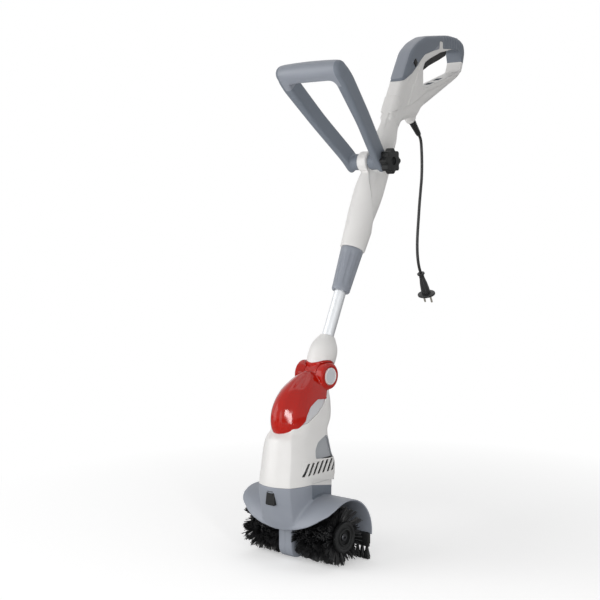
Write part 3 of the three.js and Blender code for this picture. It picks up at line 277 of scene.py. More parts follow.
def drawn_in(points, inset):
    """An outline moved to its left as it runs."""
    inward = []
    for i, point in enumerate(points):
        along = points[(i + 1) % len(points)] - points[i - 1]
        inward.append(point + Vector((-along.y, along.x)).normalized() * inset)
    return inward


def drawn_to(points, inset):
    """An outline drawn in by an inset, whichever way it runs."""
    area = sum(points[i - 1].x * p.y - p.x * points[i - 1].y for i, p in enumerate(points))
    return drawn_in(points, inset if area > 0 else -inset)


def outward(bm):
    """Turns every face outward."""
    bmesh.ops.recalc_face_normals(bm, faces=bm.faces[:])
    return bm


def loft(sections):
    """A closed skin over sections that all have the same number of points."""
    bm = bmesh.new()
    ring = bmesh.ops.create_circle(bm, segments=len(sections[0]), radius=1)["verts"]
    for vert, point in zip(ring, sections[0]):
        vert.co = point
    for section in sections[1:]:
        edges = [bm.edges.get((vert, ring[i - 1])) for i, vert in enumerate(ring)]
        made = set(bmesh.ops.extrude_edge_only(bm, edges=edges)["geom"])
        lifted = [
            next(e.other_vert(vert) for e in vert.link_edges if e.other_vert(vert) in made) for vert in ring
        ]
        for vert, point in zip(lifted, section):
            vert.co = point
        ring = lifted
    bmesh.ops.holes_fill(bm, edges=bm.edges[:], sides=0)
    return outward(bm)


def slab(outline, half, edge=0.0, segments=3, middle=0.0, clamp=True):
    """A plate with an outline in Y and Z, to both sides of a middle X, with rounded edges."""
    bm = bmesh.new()
    face = bm.faces.new([bm.verts.new((middle - half, point[0], point[1])) for point in outline])
    made = bmesh.ops.extrude_face_region(bm, geom=[face])["geom"]
    lifted = [item for item in made if isinstance(item, bmesh.types.BMVert)]
    bmesh.ops.translate(bm, verts=lifted, vec=(2 * half, 0, 0))
    outward(bm)
    if edge:
        rim = [e for e in bm.edges if abs(e.verts[0].co.x - e.verts[1].co.x) < half]
        bmesh.ops.bevel(bm, geom=rim, offset=edge, offset_type="OFFSET", segments=segments, profile=0.5,
                        affect="EDGES", material=-1, clamp_overlap=clamp)
    return bm


def turned(profile, steps=64):
    """A profile of (radius, height) points spun about Z, poles and seams closed."""
    bm = bmesh.new()
    verts = [bm.verts.new((radius, 0, height)) for radius, height in profile]
    edges = [bm.edges.new(pair) for pair in zip(verts, verts[1:])]
    bmesh.ops.spin(bm, geom=verts + edges, cent=(0, 0, 0), axis=(0, 0, 1), angle=2 * math.pi, steps=steps,
                   use_merge=True, use_duplicate=False)
    bmesh.ops.remove_doubles(bm, verts=bm.verts[:], dist=0.001)
    return outward(bm)


def moved(bm, matrix):
    bmesh.ops.transform(bm, matrix=matrix, verts=bm.verts[:])
    return bm


def shifted(bm, x=0, y=0, z=0):
    return moved(bm, Matrix.Translation((x, y, z)))


def along_x(bm):
    """Turns what stands along Z to lie along X."""
    return moved(bm, Matrix.Rotation(math.radians(90), 4, "Y"))


def sided(bm, side, x=0, y=0, z=0):
    """Lays a turned piece along X, out to the left, -1, or the right, 1."""
    return outward(moved(along_x(bm), Matrix.Translation((x, y, z)) @ Matrix.Diagonal((side, 1, 1, 1))))


def rod(radius, low, high, edge=0.0, steps=48):
    """A round bar along Z with eased ends."""
    ease = [(radius - edge * (1 - math.sin(a)), low + edge * (1 - math.cos(a)))
            for a in (math.radians(d) for d in (0, 30, 60, 90))] if edge else [(radius, low)]
    profile = [(0, low)] + ease + [(r, low + high - z) for r, z in reversed(ease)] + [(0, high)]
    return turned(profile, steps)


def rod_x(radius, low, high, y=0, z=0, edge=0.0, steps=48):
    return shifted(along_x(rod(radius, low, high, edge, steps)), y=y, z=z)


def side_rods(radius, near, far, y=0, z=0, edge=0.0, steps=48):
    """A round bar along X on each side, the left one first."""
    return [rod_x(radius, *sorted((side * near, side * far)), y, z, edge, steps) for side in (-1, 1)]


def joined(*parts):
    """Several meshes as one, each still closed by itself."""
    whole = bmesh.new()
    for part in parts:
        mesh = bpy.data.meshes.new("part")
        part.to_mesh(mesh)
        part.free()
        whole.from_mesh(mesh)
        bpy.data.meshes.remove(mesh)
    return whole


# Slots of a working mesh, so that a carved face keeps the number of its finish
FINISH_SLOTS = 4


def as_object(bm):
    mesh = bpy.data.meshes.new("work")
    bm.to_mesh(mesh)
    bm.free()
    for _ in range(FINISH_SLOTS):
        mesh.materials.append(WHITE_ABS)
    return placed("work", mesh)


def evaluated(obj, *others):
    """The mesh that an object's modifiers leave, with the working objects cleared away."""
    graph = bpy.context.evaluated_depsgraph_get()
    mesh = bpy.data.meshes.new_from_object(obj.evaluated_get(graph))
    bm = bmesh.new()
    bm.from_mesh(mesh)
    bpy.data.meshes.remove(mesh)
    for item in (obj, *others):
        data = item.data
        bpy.data.objects.remove(item)
        if isinstance(data, bpy.types.Mesh):
            bpy.data.meshes.remove(data)
    return bm


def carved(bm, *tools, operation="DIFFERENCE"):
    """The mesh with each tool cut away from it, or kept only inside it."""
    obj = as_object(bm)
    cutters = [as_object(tool) for tool in tools]
    for cutter in cutters:
        modifier = obj.modifiers.new("carve", "BOOLEAN")
        modifier.operation = operation
        modifier.object = cutter
        modifier.solver = "EXACT"
    return evaluated(obj, *cutters)


def fused(cell, passes, *parts):
    """Closed bodies melted into one skin of small cells, eased where they meet."""
    obj = as_object(joined(*parts))
    modifier = obj.modifiers.new("melt", "REMESH")
    modifier.mode = "VOXEL"
    modifier.voxel_size = cell
    bm = evaluated(obj)
    ease(bm, passes, bm.verts[:])
    return bm


def ease(bm, passes, verts):
    for _ in range(passes):
        bmesh.ops.smooth_vert(bm, verts=verts, factor=0.5, use_axis_x=True, use_axis_y=True, use_axis_z=True)


def painted(bm, index, test=None):
    """Gives the faces that pass a test, or all, a finish by its number."""
    for face in bm.faces:
        if test is None or test(face.calc_center_median()):
            face.material_index = index
    return bm


def finished(name, bm, place, finishes, nodes, crease=32):
    """A finished piece in its place, riding on the body of the CAD node that it stands for."""
    bm.transform(place)
    for face in bm.faces:
        face.smooth = True
    limit = math.radians(crease)
    for item in bm.edges:
        item.smooth = len(item.link_faces) == 2 and item.calc_face_angle() < limit
    mesh = bpy.data.meshes.new(name)
    bm.to_mesh(mesh)
    bm.free()
    for material in finishes:
        mesh.materials.append(material)
    obj = placed(name, mesh)
    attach(obj, BODY_OF[nodes[0]])
    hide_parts(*nodes)
    return obj


def away_from(line, y, z):
    """Distance to a line of points, above zero on its left side as it runs."""
    best, sign = 1e9, 1
    point = Vector((y, z))
    for a, b in zip(line, line[1:]):
        a, b = Vector(a), Vector(b)
        along = b - a
        share = min(max((point - a).dot(along) / along.length_squared, 0), 1)
        off = point - (a + along * share)
        if off.length < best - 1e-6:
            best = off.length
            sign = 1 if along.x * (point.y - a.y) - along.y * (point.x - a.x) > 0 else -1
    return best * sign


def ramp(value, low, high):
    """A smooth rise from 0 at low to 1 at high."""
    share = min(max((value - low) / (high - low), 0), 1)
    return share * share * (3 - 2 * share)


def aimed(at, along):
    """A frame at a point, with its Z along a line."""
    return Matrix.Translation(at) @ Vector((0, 0, 1)).rotation_difference(along).to_matrix().to_4x4()


# ---- lead, boot and plug

# The lead's middle line, back and height, from the boot down to the plug
CORD_POINTS = (
    (427.4, 907.2), (431.2, 902.8), (434.2, 897.4), (436.4, 890.6), (438, 880), (439.4, 866),
    (440.4, 850), (440.8, 832), (440.4, 816), (439.2, 800), (437, 784), (434.8, 768), (432.6, 752),
    (430.8, 736), (429, 718), (427.2, 700), (425.4, 682), (424.2, 664), (424, 646), (425.2, 628),
    (428.2, 611), (433, 596), (439, 584),
)
CORD_RADIUS = 3.4
PLUG_LEAN = 26
# The boot's root in the grip, and its run to the lead
BOOT_AT = (394.3, 941)
BOOT_RUN = Vector((0, CORD_POINTS[0][0] - BOOT_AT[0], CORD_POINTS[0][1] - BOOT_AT[1]))


def round_curve(name, radius, resolution):
    """A curve with closed round ends."""
    curve = bpy.data.curves.new(name, "CURVE")
    curve.dimensions = "3D"
    curve.bevel_depth = radius
    curve.bevel_resolution = resolution
    curve.use_fill_caps = True
    return curve


def build_lead():
    curve = round_curve("lead", CORD_RADIUS * MM, 3)
    curve.resolution_u = 5
    spline = curve.splines.new("BEZIER")
    spline.bezier_points.add(len(CORD_POINTS) - 1)
    for knot, (y, z) in zip(spline.bezier_points, CORD_POINTS):
        knot.co = HEAD @ Vector((0, y, z))
        knot.handle_left_type = knot.handle_right_type = "AUTO"
    curve.materials.append(SOFT_PVC)
    lead = placed("mains_lead", curve)
    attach(lead, "upper")
    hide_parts("mains_cord")

    # Plug frame: its collar at the lead's end, its pins pointing down and away
    end = HEAD @ Matrix.Translation((0, *CORD_POINTS[-1])) @ tip(180 + PLUG_LEAN)
    stem = turned([
        (0, 0.3), (8, 0.3), (9, 1.2), (9, 4), (5.9, 4.8), (5.5, 8), (6.6, 16), (8.8, 28), (10.2, 42),
        (10.8, 52), (10.8, 57), (0, 57),
    ], 48)
    ribs = [shifted(turned([(5.2, 0), (6.3, 0.4), (6.3, 1.6), (5.2, 2), (5.2, 0)], 40), z=6 + 3.6 * i)
            for i in range(4)]
    flange = moved(rod(11, 54.5, 61, 2.2, 64), Matrix.Diagonal((22.6 / 11, 17.6 / 11, 1, 1)))
    body = finished("plug_moulding", joined(stem, flange, *ribs), end, [SOFT_PVC], ["plug_body"])
    for node, side in (("plug_pin_left", -1), ("plug_pin_right", 1)):
        pin = turned([(0, 58), (2.4, 58), (2.4, 78), (1.9, 79.6), (0.9, 80.2), (0, 80.2)], 32)
        finished(f"{node}_nickel", shifted(pin, x=side * 9.5), end, [NICKEL], [node])

    # Strain relief: a taper with ring ribs, its root seated in the grip
    long, count = BOOT_RUN.length, 7
    pitch = (long - 8) / count
    profile = [(0, -9), (8.2, -9), (8.2, 1)]
    for i in range(count):
        low, radius = 3 + i * pitch, 8.4 - 2.4 * i / count
        profile += [(radius, low), (radius, low + 3.4), (radius - 1.5, low + 3.8), (radius - 1.5, low + pitch - 0.4)]
    profile += [(6, long - 5), (5.4, long - 0.4), (0, long - 0.4)]
    boot = HEAD @ aimed((0, *BOOT_AT), BOOT_RUN)
    finished("lead_boot", turned(profile, 40), boot, [SOFT_PVC], ["cord_boot"])


build_lead()

# ---- head: hood, skirt and housing

BODY_LOW, BODY_TALL = 76, 278.4
BODY_HALF, BODY_FRONT, BODY_BACK, BODY_CORNER = 55, 102, 60, 18
# Height, half width, crease half width, front, crease and back, as shares of the sizes above
BODY_ROWS = (
    (0.0, 0.96, 0.75, 0.76, 0.69, 0.84), (0.064, 0.98, 0.76, 0.84, 0.755, 0.86),
    (0.254, 1.0, 0.775, 0.97, 0.853, 0.87), (0.336, 1.0, 0.755, 1.0, 0.866, 0.887),
    (0.471, 0.965, 0.72, 0.965, 0.82, 0.92), (0.525, 0.945, 0.71, 0.94, 0.8, 0.8),
    (0.621, 0.875, 0.67, 0.9, 0.765, 0.73), (0.68, 0.83, 0.62, 0.85, 0.72, 0.7),
    (0.72, 0.8, 0.56, 0.74, 0.64, 0.74), (0.793, 0.77, 0.52, 0.66, 0.57, 0.935),
    (0.907, 0.71, 0.5, 0.44, 0.38, 1.0), (1.0, 0.65, 0.46, 0.16, 0.12, 0.96),
)
# Where the grey skirt ends and the white housing begins, their walls, and a tool's reach for both flanks
SEAM, SKIRT_WALL, HOUSING_WALL, FLANK_REACH = 168, 8, 9, 75


def body_ring(height, inset=0.0):
    """The head's outline at a height: a bowed front, a soft crease, swelling sides and round rear corners."""
    _, half, crease_half, front, crease, back = between(BODY_ROWS, (height - BODY_LOW) / BODY_TALL)
    half, crease_half = half * BODY_HALF, crease_half * BODY_HALF
    front, crease, back = -front * BODY_FRONT, -crease * BODY_FRONT, back * BODY_BACK
    side = crease + 0.35 * (back - crease)
    # Points close to the crease keep it crisp on the skin
    tight = inset < 3
    outline = [
        Vector((crease_half * t, front + (crease - front) * t * t))
        for t in (0, 1 / 6, 1 / 3, 1 / 2, 2 / 3, 5 / 6) + ((0.96,) if tight else ())
    ]
    for i in (0,) + ((0.3,) if tight else ()) + tuple(range(1, 10)):
        outline.append(Vector((
            crease_half + (half - crease_half) * math.sin(math.pi * i / 18), crease + (side - crease) * i / 9,
        )))
    for i in range(1, 5):
        outline.append(Vector((half, side + (back - BODY_CORNER - side) * i / 5)))
    for i in range(7):
        angle = math.pi * i / 12
        outline.append(Vector((
            half - BODY_CORNER * (1 - math.cos(angle)), back - BODY_CORNER * (1 - math.sin(angle)),
        )))
    for i in range(1, 4):
        outline.append(Vector(((half - BODY_CORNER) * (1 - i / 3), back)))
    mirrored = [Vector((-p.x, p.y)) for p in outline[-2:0:-1]]
    ring = drawn_in(softened(outline + mirrored, 1), inset)
    return [Vector((p.x, p.y, height)) for p in ring]


def body_loft(low, high, inset=0.0, step=4):
    return loft([body_ring(height, inset) for height in spread(low, high, step)])


def side_pocket(outline, depth):
    """A tool that sinks an outline on both flanks of the head to an even depth."""
    heights = [point[1] for point in outline]
    core = body_loft(max(min(heights) - 4, BODY_LOW), min(max(heights) + 4, BODY_LOW + BODY_TALL), depth)
    return carved(slab(outline, FLANK_REACH), core)


def flank_strip(outline, low, high, deep, proud=0.9):
    """A trim on both flanks, proud of the head and sunk into it."""
    strip = carved(slab(outline, FLANK_REACH), body_loft(low, high, -proud), operation="INTERSECT")
    return carved(strip, body_loft(low - 2, min(high + 2, BODY_LOW + BODY_TALL), deep))


HOOD_RADIUS, HOOD_WALL, HOOD_HALF = 80, 3, 127
# Half width of the hood at each angle above the rear, as a share of its full half width
HOOD_ROWS = (
    (-6, 1), (60, 1), (100, 1), (112, 0.995), (125, 0.976), (137, 0.906), (145, 0.803), (150, 0.74),
    (157.5, 0.61), (163, 0.46), (167, 0.3), (170, 0.04),
)


def hood_ring(angle):
    """The section of the hood's wall at an angle about the axle."""
    half = HOOD_HALF * between(HOOD_ROWS, angle)[1]
    turn = math.radians(angle)
    points = []
    for radius, share in ((-1, -1), (1, -1), (1, 1), (-1, 1)):
        reach = HOOD_RADIUS - HOOD_WALL / 2 + radius * HOOD_WALL / 2
        points.append(Vector((share * half, reach * math.cos(turn), AXLE + reach * math.sin(turn))))
    return points


def over_hood(y, clear=0.8):
    return AXLE + math.sqrt(max((HOOD_RADIUS + clear) ** 2 - y * y, 0))


# Recess at the rear of each flank, across the seam, with the housing's white edge along its top
NOTCH = rounded([
    (-32, over_hood(-32)), (-32, 178.5), (-26, 179), (38, 167.4), (66, 162.5),
    *((y, over_hood(y)) for y in (66, 54, 40, 20, 0, -20)),
], 4)
NOTCH_DEPTH = 5
NOTCH_EDGE = [(-60, 171), (-32, 167.2), (39, 155), (70, 149.7), (70, 190), (-60, 190)]
# How far the hood and the skirt are eased into each other
MEETING_REACH = 11


def build_guard():
    hood = loft([hood_ring(angle) for angle in spread(-6, 170, 2)])
    skirt = carved(
        body_loft(BODY_LOW, SEAM),
        body_loft(BODY_LOW - 0.5, SEAM + 8, SKIRT_WALL),
        rod_x(HOOD_RADIUS - HOOD_WALL, -90, 90, 0, AXLE, steps=96),
    )
    guard = fused(1.5, 2, hood, skirt)
    halves = {h: max(p.x for p in body_ring(h, -MEETING_REACH)) for h in range(BODY_LOW, SEAM + 4, 4)}
    meeting = []
    for vert in guard.verts:
        x, y, z = vert.co
        if HOOD_RADIUS - 1 < math.hypot(y, z - AXLE) < HOOD_RADIUS + MEETING_REACH and z > BODY_LOW and y < 70:
            if abs(x) < halves[min(SEAM, max(BODY_LOW, round(z / 4) * 4))]:
                meeting.append(vert)
    ease(guard, 18, meeting)
    edge = carved(side_pocket(NOTCH, NOTCH_DEPTH + 0.3), slab(NOTCH_EDGE, 90), operation="INTERSECT")
    # Painted shade: the notch floor takes the darker grained grey, finish 1.
    guard = carved(guard, painted(side_pocket(NOTCH, NOTCH_DEPTH), 1), painted(edge, 2))
    finished("guard_moulding", guard, HEAD, [GREY_PP, GRAIN_AND_SHADE_GREY, WHITE_ABS], ["brush_guard"],
             crease=26)

    # Latch in the front of the skirt, a tapered key with ribs
    corners = [(-12.4, 130), (12.4, 130), (9.4, 167.6), (-9.4, 167.6)]
    key = slab(rounded(corners, 3.5, 5), 4.2, 1.4, 3)
    ribs = [
        slab(rounded([(-7.4, z - 0.9), (7.4, z - 0.9), (7.4, z + 0.9), (-7.4, z + 0.9)], 0.8, 2), 1, 0.4, 2,
             middle=4.2)
        for z in (150.5, 154.5, 158.5)
    ]
    middle = 147
    front = -BODY_FRONT * between(BODY_ROWS, (middle - BODY_LOW) / BODY_TALL)[3]
    lean = Matrix.Translation((0, front, middle)) @ tip(-4) @ Matrix.Translation((0, 0, -middle))
    facing = Matrix.Translation((0, 2.4, 0)) @ Matrix.Rotation(math.radians(-90), 4, "Z")
    finished("latch_key", moved(joined(key, *ribs), lean @ facing), HEAD, [BLACK_NYLON],
             ["guard_latch"])


def vent_slots():
    """The row of slanted vents through both flanks, as one tool."""
    return joined(*(
        slab(rounded([(low, 188), (low + 7.4, 188), (low + 24.4, 213), (low + 17, 213)], 1.5), 90)
        for low in range(-60, 45, 15)
    ))


# The side panel, the white rim along its curved edge, and the badge's place
PANEL_EDGE = [(-31.6, 294), (-13.9, 303), (3.9, 311.1), (25, 327.4), (38.7, 347)]
PANEL = [(-60, 285), *PANEL_EDGE, (50, 380), (-60, 380)]
RIM = [
    (-68, 282.5), (-56, 281.6), (-30, 285.5), (-9, 295), (12, 304.5), (33, 320), (46, 345), (56, 380), (49, 380),
    *PANEL_EDGE[::-1], (-68, 288),
]
BADGE = [(-16.7, 219.5), (-15.1, 237.3), (-4, 251.9), (25.5, 263.9), (32.9, 255.6), (44.1, 213.5), (10, 216.5)]


def build_housing():
    top = BODY_LOW + BODY_TALL
    # Rear vents, their floors near black as painted shade (finish 1).
    rear_vents = [
        painted(slab(rounded([(50, z), (72, z), (72, z + 5), (50, z + 5)], 1), 24), 1) for z in (300, 311, 322, 333)
    ]
    # The hollow, the thinner wall round the vents and the vent walls take finish 1, near black as painted shade.
    shell = carved(
        body_loft(SEAM + 0.5, top, step=3),
        side_pocket(NOTCH, NOTCH_DEPTH),
        painted(side_pocket(rounded(BADGE, 5), 3.6), 3),
        painted(side_pocket(rounded(PANEL, 3), 1.4), 2),
        painted(body_loft(SEAM - 6, top - HOUSING_WALL, HOUSING_WALL), 1),
        painted(body_loft(184, 217, 2), 1),
        painted(vent_slots(), 1),
        *rear_vents,
    )
    rim = flank_strip(rounded(RIM, 3), 270, 354, 3.5)
    ledge = flank_strip([(-66, 183.5), (66, 176), (66, 214), (-66, 217)], 172, 220, 1.6)
    ledge = carved(ledge, vent_slots(), slab([(-90, 160), (-56, 160), (-56, 240), (-90, 240)], 90))
    finished("housing_moulding", joined(shell, rim, ledge), HEAD, [WHITE_ABS, INNER_SHADE, GREY_PANEL, GREY_INLAY],
             ["motor_housing_left", "motor_housing_right"], crease=30)


CAP_BACK = 54
# Height, half width, facet half width, front and facet of the red cap's dome
CAP_ROWS = (
    (270, 30, 14, 76, 71), (278, 39, 17, 81, 74), (288, 43.5, 20, 85.5, 75), (302, 44.5, 22, 87, 74),
    (320, 43, 22.5, 85, 70), (335, 40.5, 23, 78, 62), (349, 38, 22.5, 68, 51), (362, 35.5, 21.5, 54, 36),
    (370, 32, 20, 42, 23), (379, 26.5, 17, 27, 8), (386, 20.5, 14, 13, -4), (391, 14, 10, 2, -11),
    (394.5, 6.5, 4.8, -8, -17),
)


def cap_ring(height):
    _, half, facet, front, facet_y = between(CAP_ROWS, height)
    front, facet_y = -front, -facet_y
    side = facet_y + 0.5 * (14 - facet_y)
    corners = [
        Vector((0, front)), Vector((facet * 0.6, front + 0.3 * (facet_y - front))), Vector((facet, facet_y)),
        Vector((facet + 0.6 * (half - facet), facet_y + 0.35 * (side - facet_y))), Vector((half, side)),
        Vector((half, CAP_BACK)), Vector((0, CAP_BACK)),
    ]
    corners += [Vector((-p.x, p.y)) for p in corners[-2:0:-1]]
    points = []
    for i, point in enumerate(corners):
        following = corners[(i + 1) % len(corners)]
        points += [point.lerp(following, step / 4) for step in range(4)]
    return [Vector((p.x, p.y, height)) for p in softened(points, 2)]


# The spool between the pivot ears: place along X and radius, slimmer on the left as in the photograph
SPOOL = ((-18.2, 22), (-12, 22), (-4, 23.6), (4, 25.6), (12, 27.2), (18.2, 28))
# Half length of a tool that cuts right through
PAST_ENDS = 60


def spool(spare=0.0):
    low, high = SPOOL[0][0] - spare, SPOOL[-1][0] + spare
    rows = [(radius + spare, at) for at, radius in SPOOL]
    return along_x(turned([(0, low), (rows[0][0], low)] + rows + [(rows[-1][0], high), (0, high)], 96))


def build_cap():
    flank = rounded([
        (-120, 264), (-88, 271.5), (-56, 281.5), (-36, 298.5), (-32.5, 310), (-19, 327), (6, 339.3), (35.5, 336.4),
        (51, 354), (66, 372), (66, 405), (-120, 405),
    ], 3)
    dome = loft([cap_ring(height) for height in spread(CAP_ROWS[0][0], CAP_ROWS[-1][0], 3)])
    parts = [carved(dome, slab(flank, 80), operation="INTERSECT")]
    # The ears' profiles, radius and place along X
    right = [(0, 18.5), (27.6, 18.5), (28.3, 22), (28.6, 28), (28.5, 33), (27.8, 35.6), (25.8, 37.3), (22.5, 38)]
    left = [
        (0, 18.5), (21.8, 18.5), (22.8, 21), (25.4, 26), (27.8, 30.5), (28.6, 33.6), (29.8, 35.2), (29.4, 36.9),
        (27.4, 37.9), (24, 38),
    ]
    dished = [(18.6, 38), (18.4, 35), (18.4, 30), (0, 30)]
    parts += [sided(turned(horn + dished, 96), side, *PIVOT) for side, horn in ((-1, left), (1, right))]
    cap = fused(1.2, 3, *parts)
    ease(cap, 24, [vert for vert in cap.verts if vert.co.z > 348 and vert.co.y < 18])
    sweep = shifted(spool(0.5), *PIVOT)
    bore_half = 18.3
    bore = rod_x(bore_half, -PAST_ENDS, PAST_ENDS, PIVOT.y, PIVOT.z, steps=64)
    # Room for the neck's collar as the stick swings
    swing = carved(
        rod_x(33.7, -32, 32, PIVOT.y, PIVOT.z, steps=96),
        *side_rods(29.3, bore_half, PAST_ENDS, PIVOT.y, PIVOT.z, steps=96),
        slab([(50, 383), (-8, 401.2), (-60, 300), (150, 300), (150, 366)], PAST_ENDS),
    )
    cap = carved(cap, sweep, carved(bore, rod_x(40, -30, 30, PIVOT.y, PIVOT.z, steps=48)), swing)
    finished("cap_moulding", cap, HEAD, [RED_ABS],
             ["motor_cap", "pivot_ear_left", "pivot_ear_right"], crease=40)

    # Release button on the right, a plain cover on the left, each with a raised rim round a pale face
    face = turned([
        (0, 0), (17.7, 0), (18, 0.4), (18, 9), (17.2, 9.9), (16, 10), (15.2, 9.6), (14.8, 9), (0, 9.3),
    ], 64)
    for name, node, side in (("release_button", "tilt_button", 1), ("pivot_cover", "pivot_end_cap", -1)):
        disc = sided(face.copy(), side, side * 29.5, PIVOT.y, PIVOT.z)
        painted(disc, 1, lambda p: math.hypot(p.y - PIVOT.y, p.z - PIVOT.z) < 15)
        finished(name, disc, HEAD, [WHITE_ABS, GREY_PANEL], [node])
    face.free()


def build_neck():
    """White bell over a red spool: the edge between them is a saddle round the pivot."""
    foot, tall, widest = 29.5, 58, 30.5
    rows = [(0, 0.98), (0.12, 1), (0.45, 0.98), (0.68, 0.86), (0.86, 0.68), (1, 0.53)]
    profile = [(0, 5), (13, 5), (20.5, 8), (25.6, 12), (28.2, 16.5), (29.7, 22)]
    profile += [(widest * between(rows, t)[1], foot + tall * t) for t in spread(0.02, 1, 0.06)]
    bell = turned(profile + [(0, foot + tall)], 96)
    crown = carved(
        fused(1.2, 2, bell.copy()), rod_x(33.4, -PAST_ENDS, PAST_ENDS, steps=96), rod(13.2, 60, 110, steps=64),
    )
    collar = carved(bell, rod_x(33.1, -PAST_ENDS, PAST_ENDS, steps=96), operation="INTERSECT")
    collar = carved(fused(1.2, 3, collar, spool()), *side_rods(29.1, 18.4, PAST_ENDS, steps=96))
    painted(collar, 1)
    finished("neck_moulding", joined(crown, collar), STICK, [WHITE_ABS, RED_ABS], ["neck"])
    wall = [(13, 46), (13, 470), (11.4, 470), (11.4, 46), (13, 46)]
    finished("tube_lower", turned(wall, 72), STICK, [ALUMINIUM], ["lower_tube"])


def build_sleeve():
    """Twist sleeve: a cone with long shallow finger flutes."""
    low, high, flutes, count = 191, 289.7, 8, 96
    sections = []
    for height in spread(low, high, 3):
        t = (height - low) / (high - low)
        edge = 1.4 * (1 - ramp(t, 0, 0.03)) + 1.0 * ramp(t, 0.97, 1)
        depth = 1.5 * ramp(t, 0.1, 0.22) * (1 - ramp(t, 0.84, 0.94))
        points = []
        for i in range(count):
            angle = 2 * math.pi * i / count
            radius = 20 + 5 * t - edge - depth * max(0, math.cos(flutes * angle)) ** 0.7
            points.append(Vector((radius * math.cos(angle), radius * math.sin(angle), height)))
        sections.append(points)
    cone = carved(loft(sections), rod(13.3, 180, 300, steps=64))
    finished("twist_sleeve", cone, STICK, [GREY_PP], ["lock_sleeve"], crease=40)


# ---- upper shaft and hand loop

SHAFT_LOW, SHAFT_TALL, SHAFT_HALF = 290, 370, 32
# Height, half width, front and back of the shaft, as shares of the sizes above
SHAFT_ROWS = (
    (0.0, 0.86, 0.86, 0.88), (0.1, 0.92, 0.92, 0.96), (0.24, 1.0, 1.0, 1.03), (0.4, 1.0, 1.05, 1.08),
    (0.54, 0.93, 0.98, 1.12), (0.68, 0.8, 0.72, 1.06), (0.84, 0.72, 0.6, 1.0), (1.0, 0.65, 0.6, 1.0),
)
LOOP_BACK, LOOP_LOW, LOOP_TALL, LOOP_HALF = 204, 600, 331, 21
# Outlines on the hand loop's plate, back and height as shares of its sizes
LOOP_SHARES = (
    (-0.093, 0.0), (-0.09, 0.25), (-0.072, 0.54), (0.003, 0.637), (0.13, 0.73), (0.32, 0.805), (0.54, 0.889),
    (0.72, 0.9345), (0.85, 0.9325), (0.918, 0.882), (0.94, 0.82), (0.957, 0.728), (0.93, 0.677), (0.7, 0.488),
    (0.43, 0.268), (0.392, 0.175), (0.29, 0.14), (0.16, 0.07), (0.15, 0.0),
)
HOLE_SHARES = (
    (0.317, 0.369), (0.212, 0.5), (0.215, 0.545), (0.295, 0.61), (0.446, 0.711), (0.667, 0.821), (0.8, 0.845),
    (0.876, 0.79), (0.886, 0.714),
)
COVER_SHARES = (
    (-0.6, 0.11), (-0.196, 0.236), (-0.046, 0.314), (0.056, 0.405), (0.096, 0.467), (0.13, 0.535),
    (0.176, 0.595), (0.3, 0.669), (0.404, 0.722), (0.372, 0.776), (0.431, 0.79), (0.463, 0.745), (0.689, 0.828),
    (0.75, 0.79), (1.4, 0.79), (1.4, 1.4), (-0.6, 1.4),
)
# The trigger's room and its bar, along and up as shares of its length and height
TRIGGER_LONG, TRIGGER_TALL = 125, 32
TRIGGER_SHARES = (
    (0.16, -0.12), (0.38, 0.1), (0.74, 0.21), (1.0, 0.27), (1.04, 0.5), (1.0, 0.74), (0.75, 0.85),
    (0.45, 0.82), (0.15, 0.7), (0.09, 0.2),
)
TRIGGER_BAR = ((0.12, -0.3), (0.38, -0.1), (0.74, 0.03), (1.0, 0.16)) + TRIGGER_SHARES[4:-1] + ((0.06, 0.1),)


def on_loop(shares):
    return [(back * LOOP_BACK, LOOP_LOW + height * LOOP_TALL) for back, height in shares]


IN_STICK = Matrix.Translation((0, *on_loop([(0.21, 0.5)])[0])) @ tip(42)
TRIGGER = STICK @ IN_STICK


def shaft_ring(height, count=64):
    _, half, front, back = between(SHAFT_ROWS, (height - SHAFT_LOW) / SHAFT_TALL)
    half, front, back = half * SHAFT_HALF, -front * SHAFT_HALF, back * SHAFT_HALF
    turns = [2 * math.pi * i / count for i in range(count)]
    return [
        Vector((half * math.cos(turn), (front + back) / 2 + (back - front) / 2 * math.sin(turn), height))
        for turn in turns
    ]


# Lines on the flanks of the grip, in the stick's own frame: back and height
BULGE_LINE = [
    (-60, 594), (-35, 606), (-28.8, 610), (-4.4, 630.5), (4, 648), (6.5, 662), (3.7, 686), (6, 710), (11.4, 734),
]
RIDGE_LINE = [(5, 628), (55.5, 689), (82.5, 728), (121, 764), (184, 834)]
BAND_LINE = [(-61.9, 677), (-40, 689), (-18.2, 704), (-1.5, 724), (11.9, 744), (19.5, 756)]
LOCK_AT = Vector((10, 760))
UPRIGHT = Vector((math.sin(math.radians(STICK_LEAN)), math.cos(math.radians(STICK_LEAN))))


def level_at(y, z):
    """How far back a point of the grip lies along a level floor."""
    return 0.9063 * y + 0.4226 * z


def diamond(tall, wide):
    """The lock's outline, taller than wide, upright on a level floor."""
    level = Vector((UPRIGHT.y, -UPRIGHT.x))
    return [LOCK_AT + UPRIGHT * tall, LOCK_AT + level * wide, LOCK_AT - UPRIGHT * tall, LOCK_AT - level * wide]


BULGE_STEP, RIDGE_STEP, RIDGE_FALL, BAND_STEP = 3.4, 1.4, 0.09, 1.5
RIB_DEPTH, RIB_PITCH, FIN_DEPTH = 1.3, 11.2, 4.2


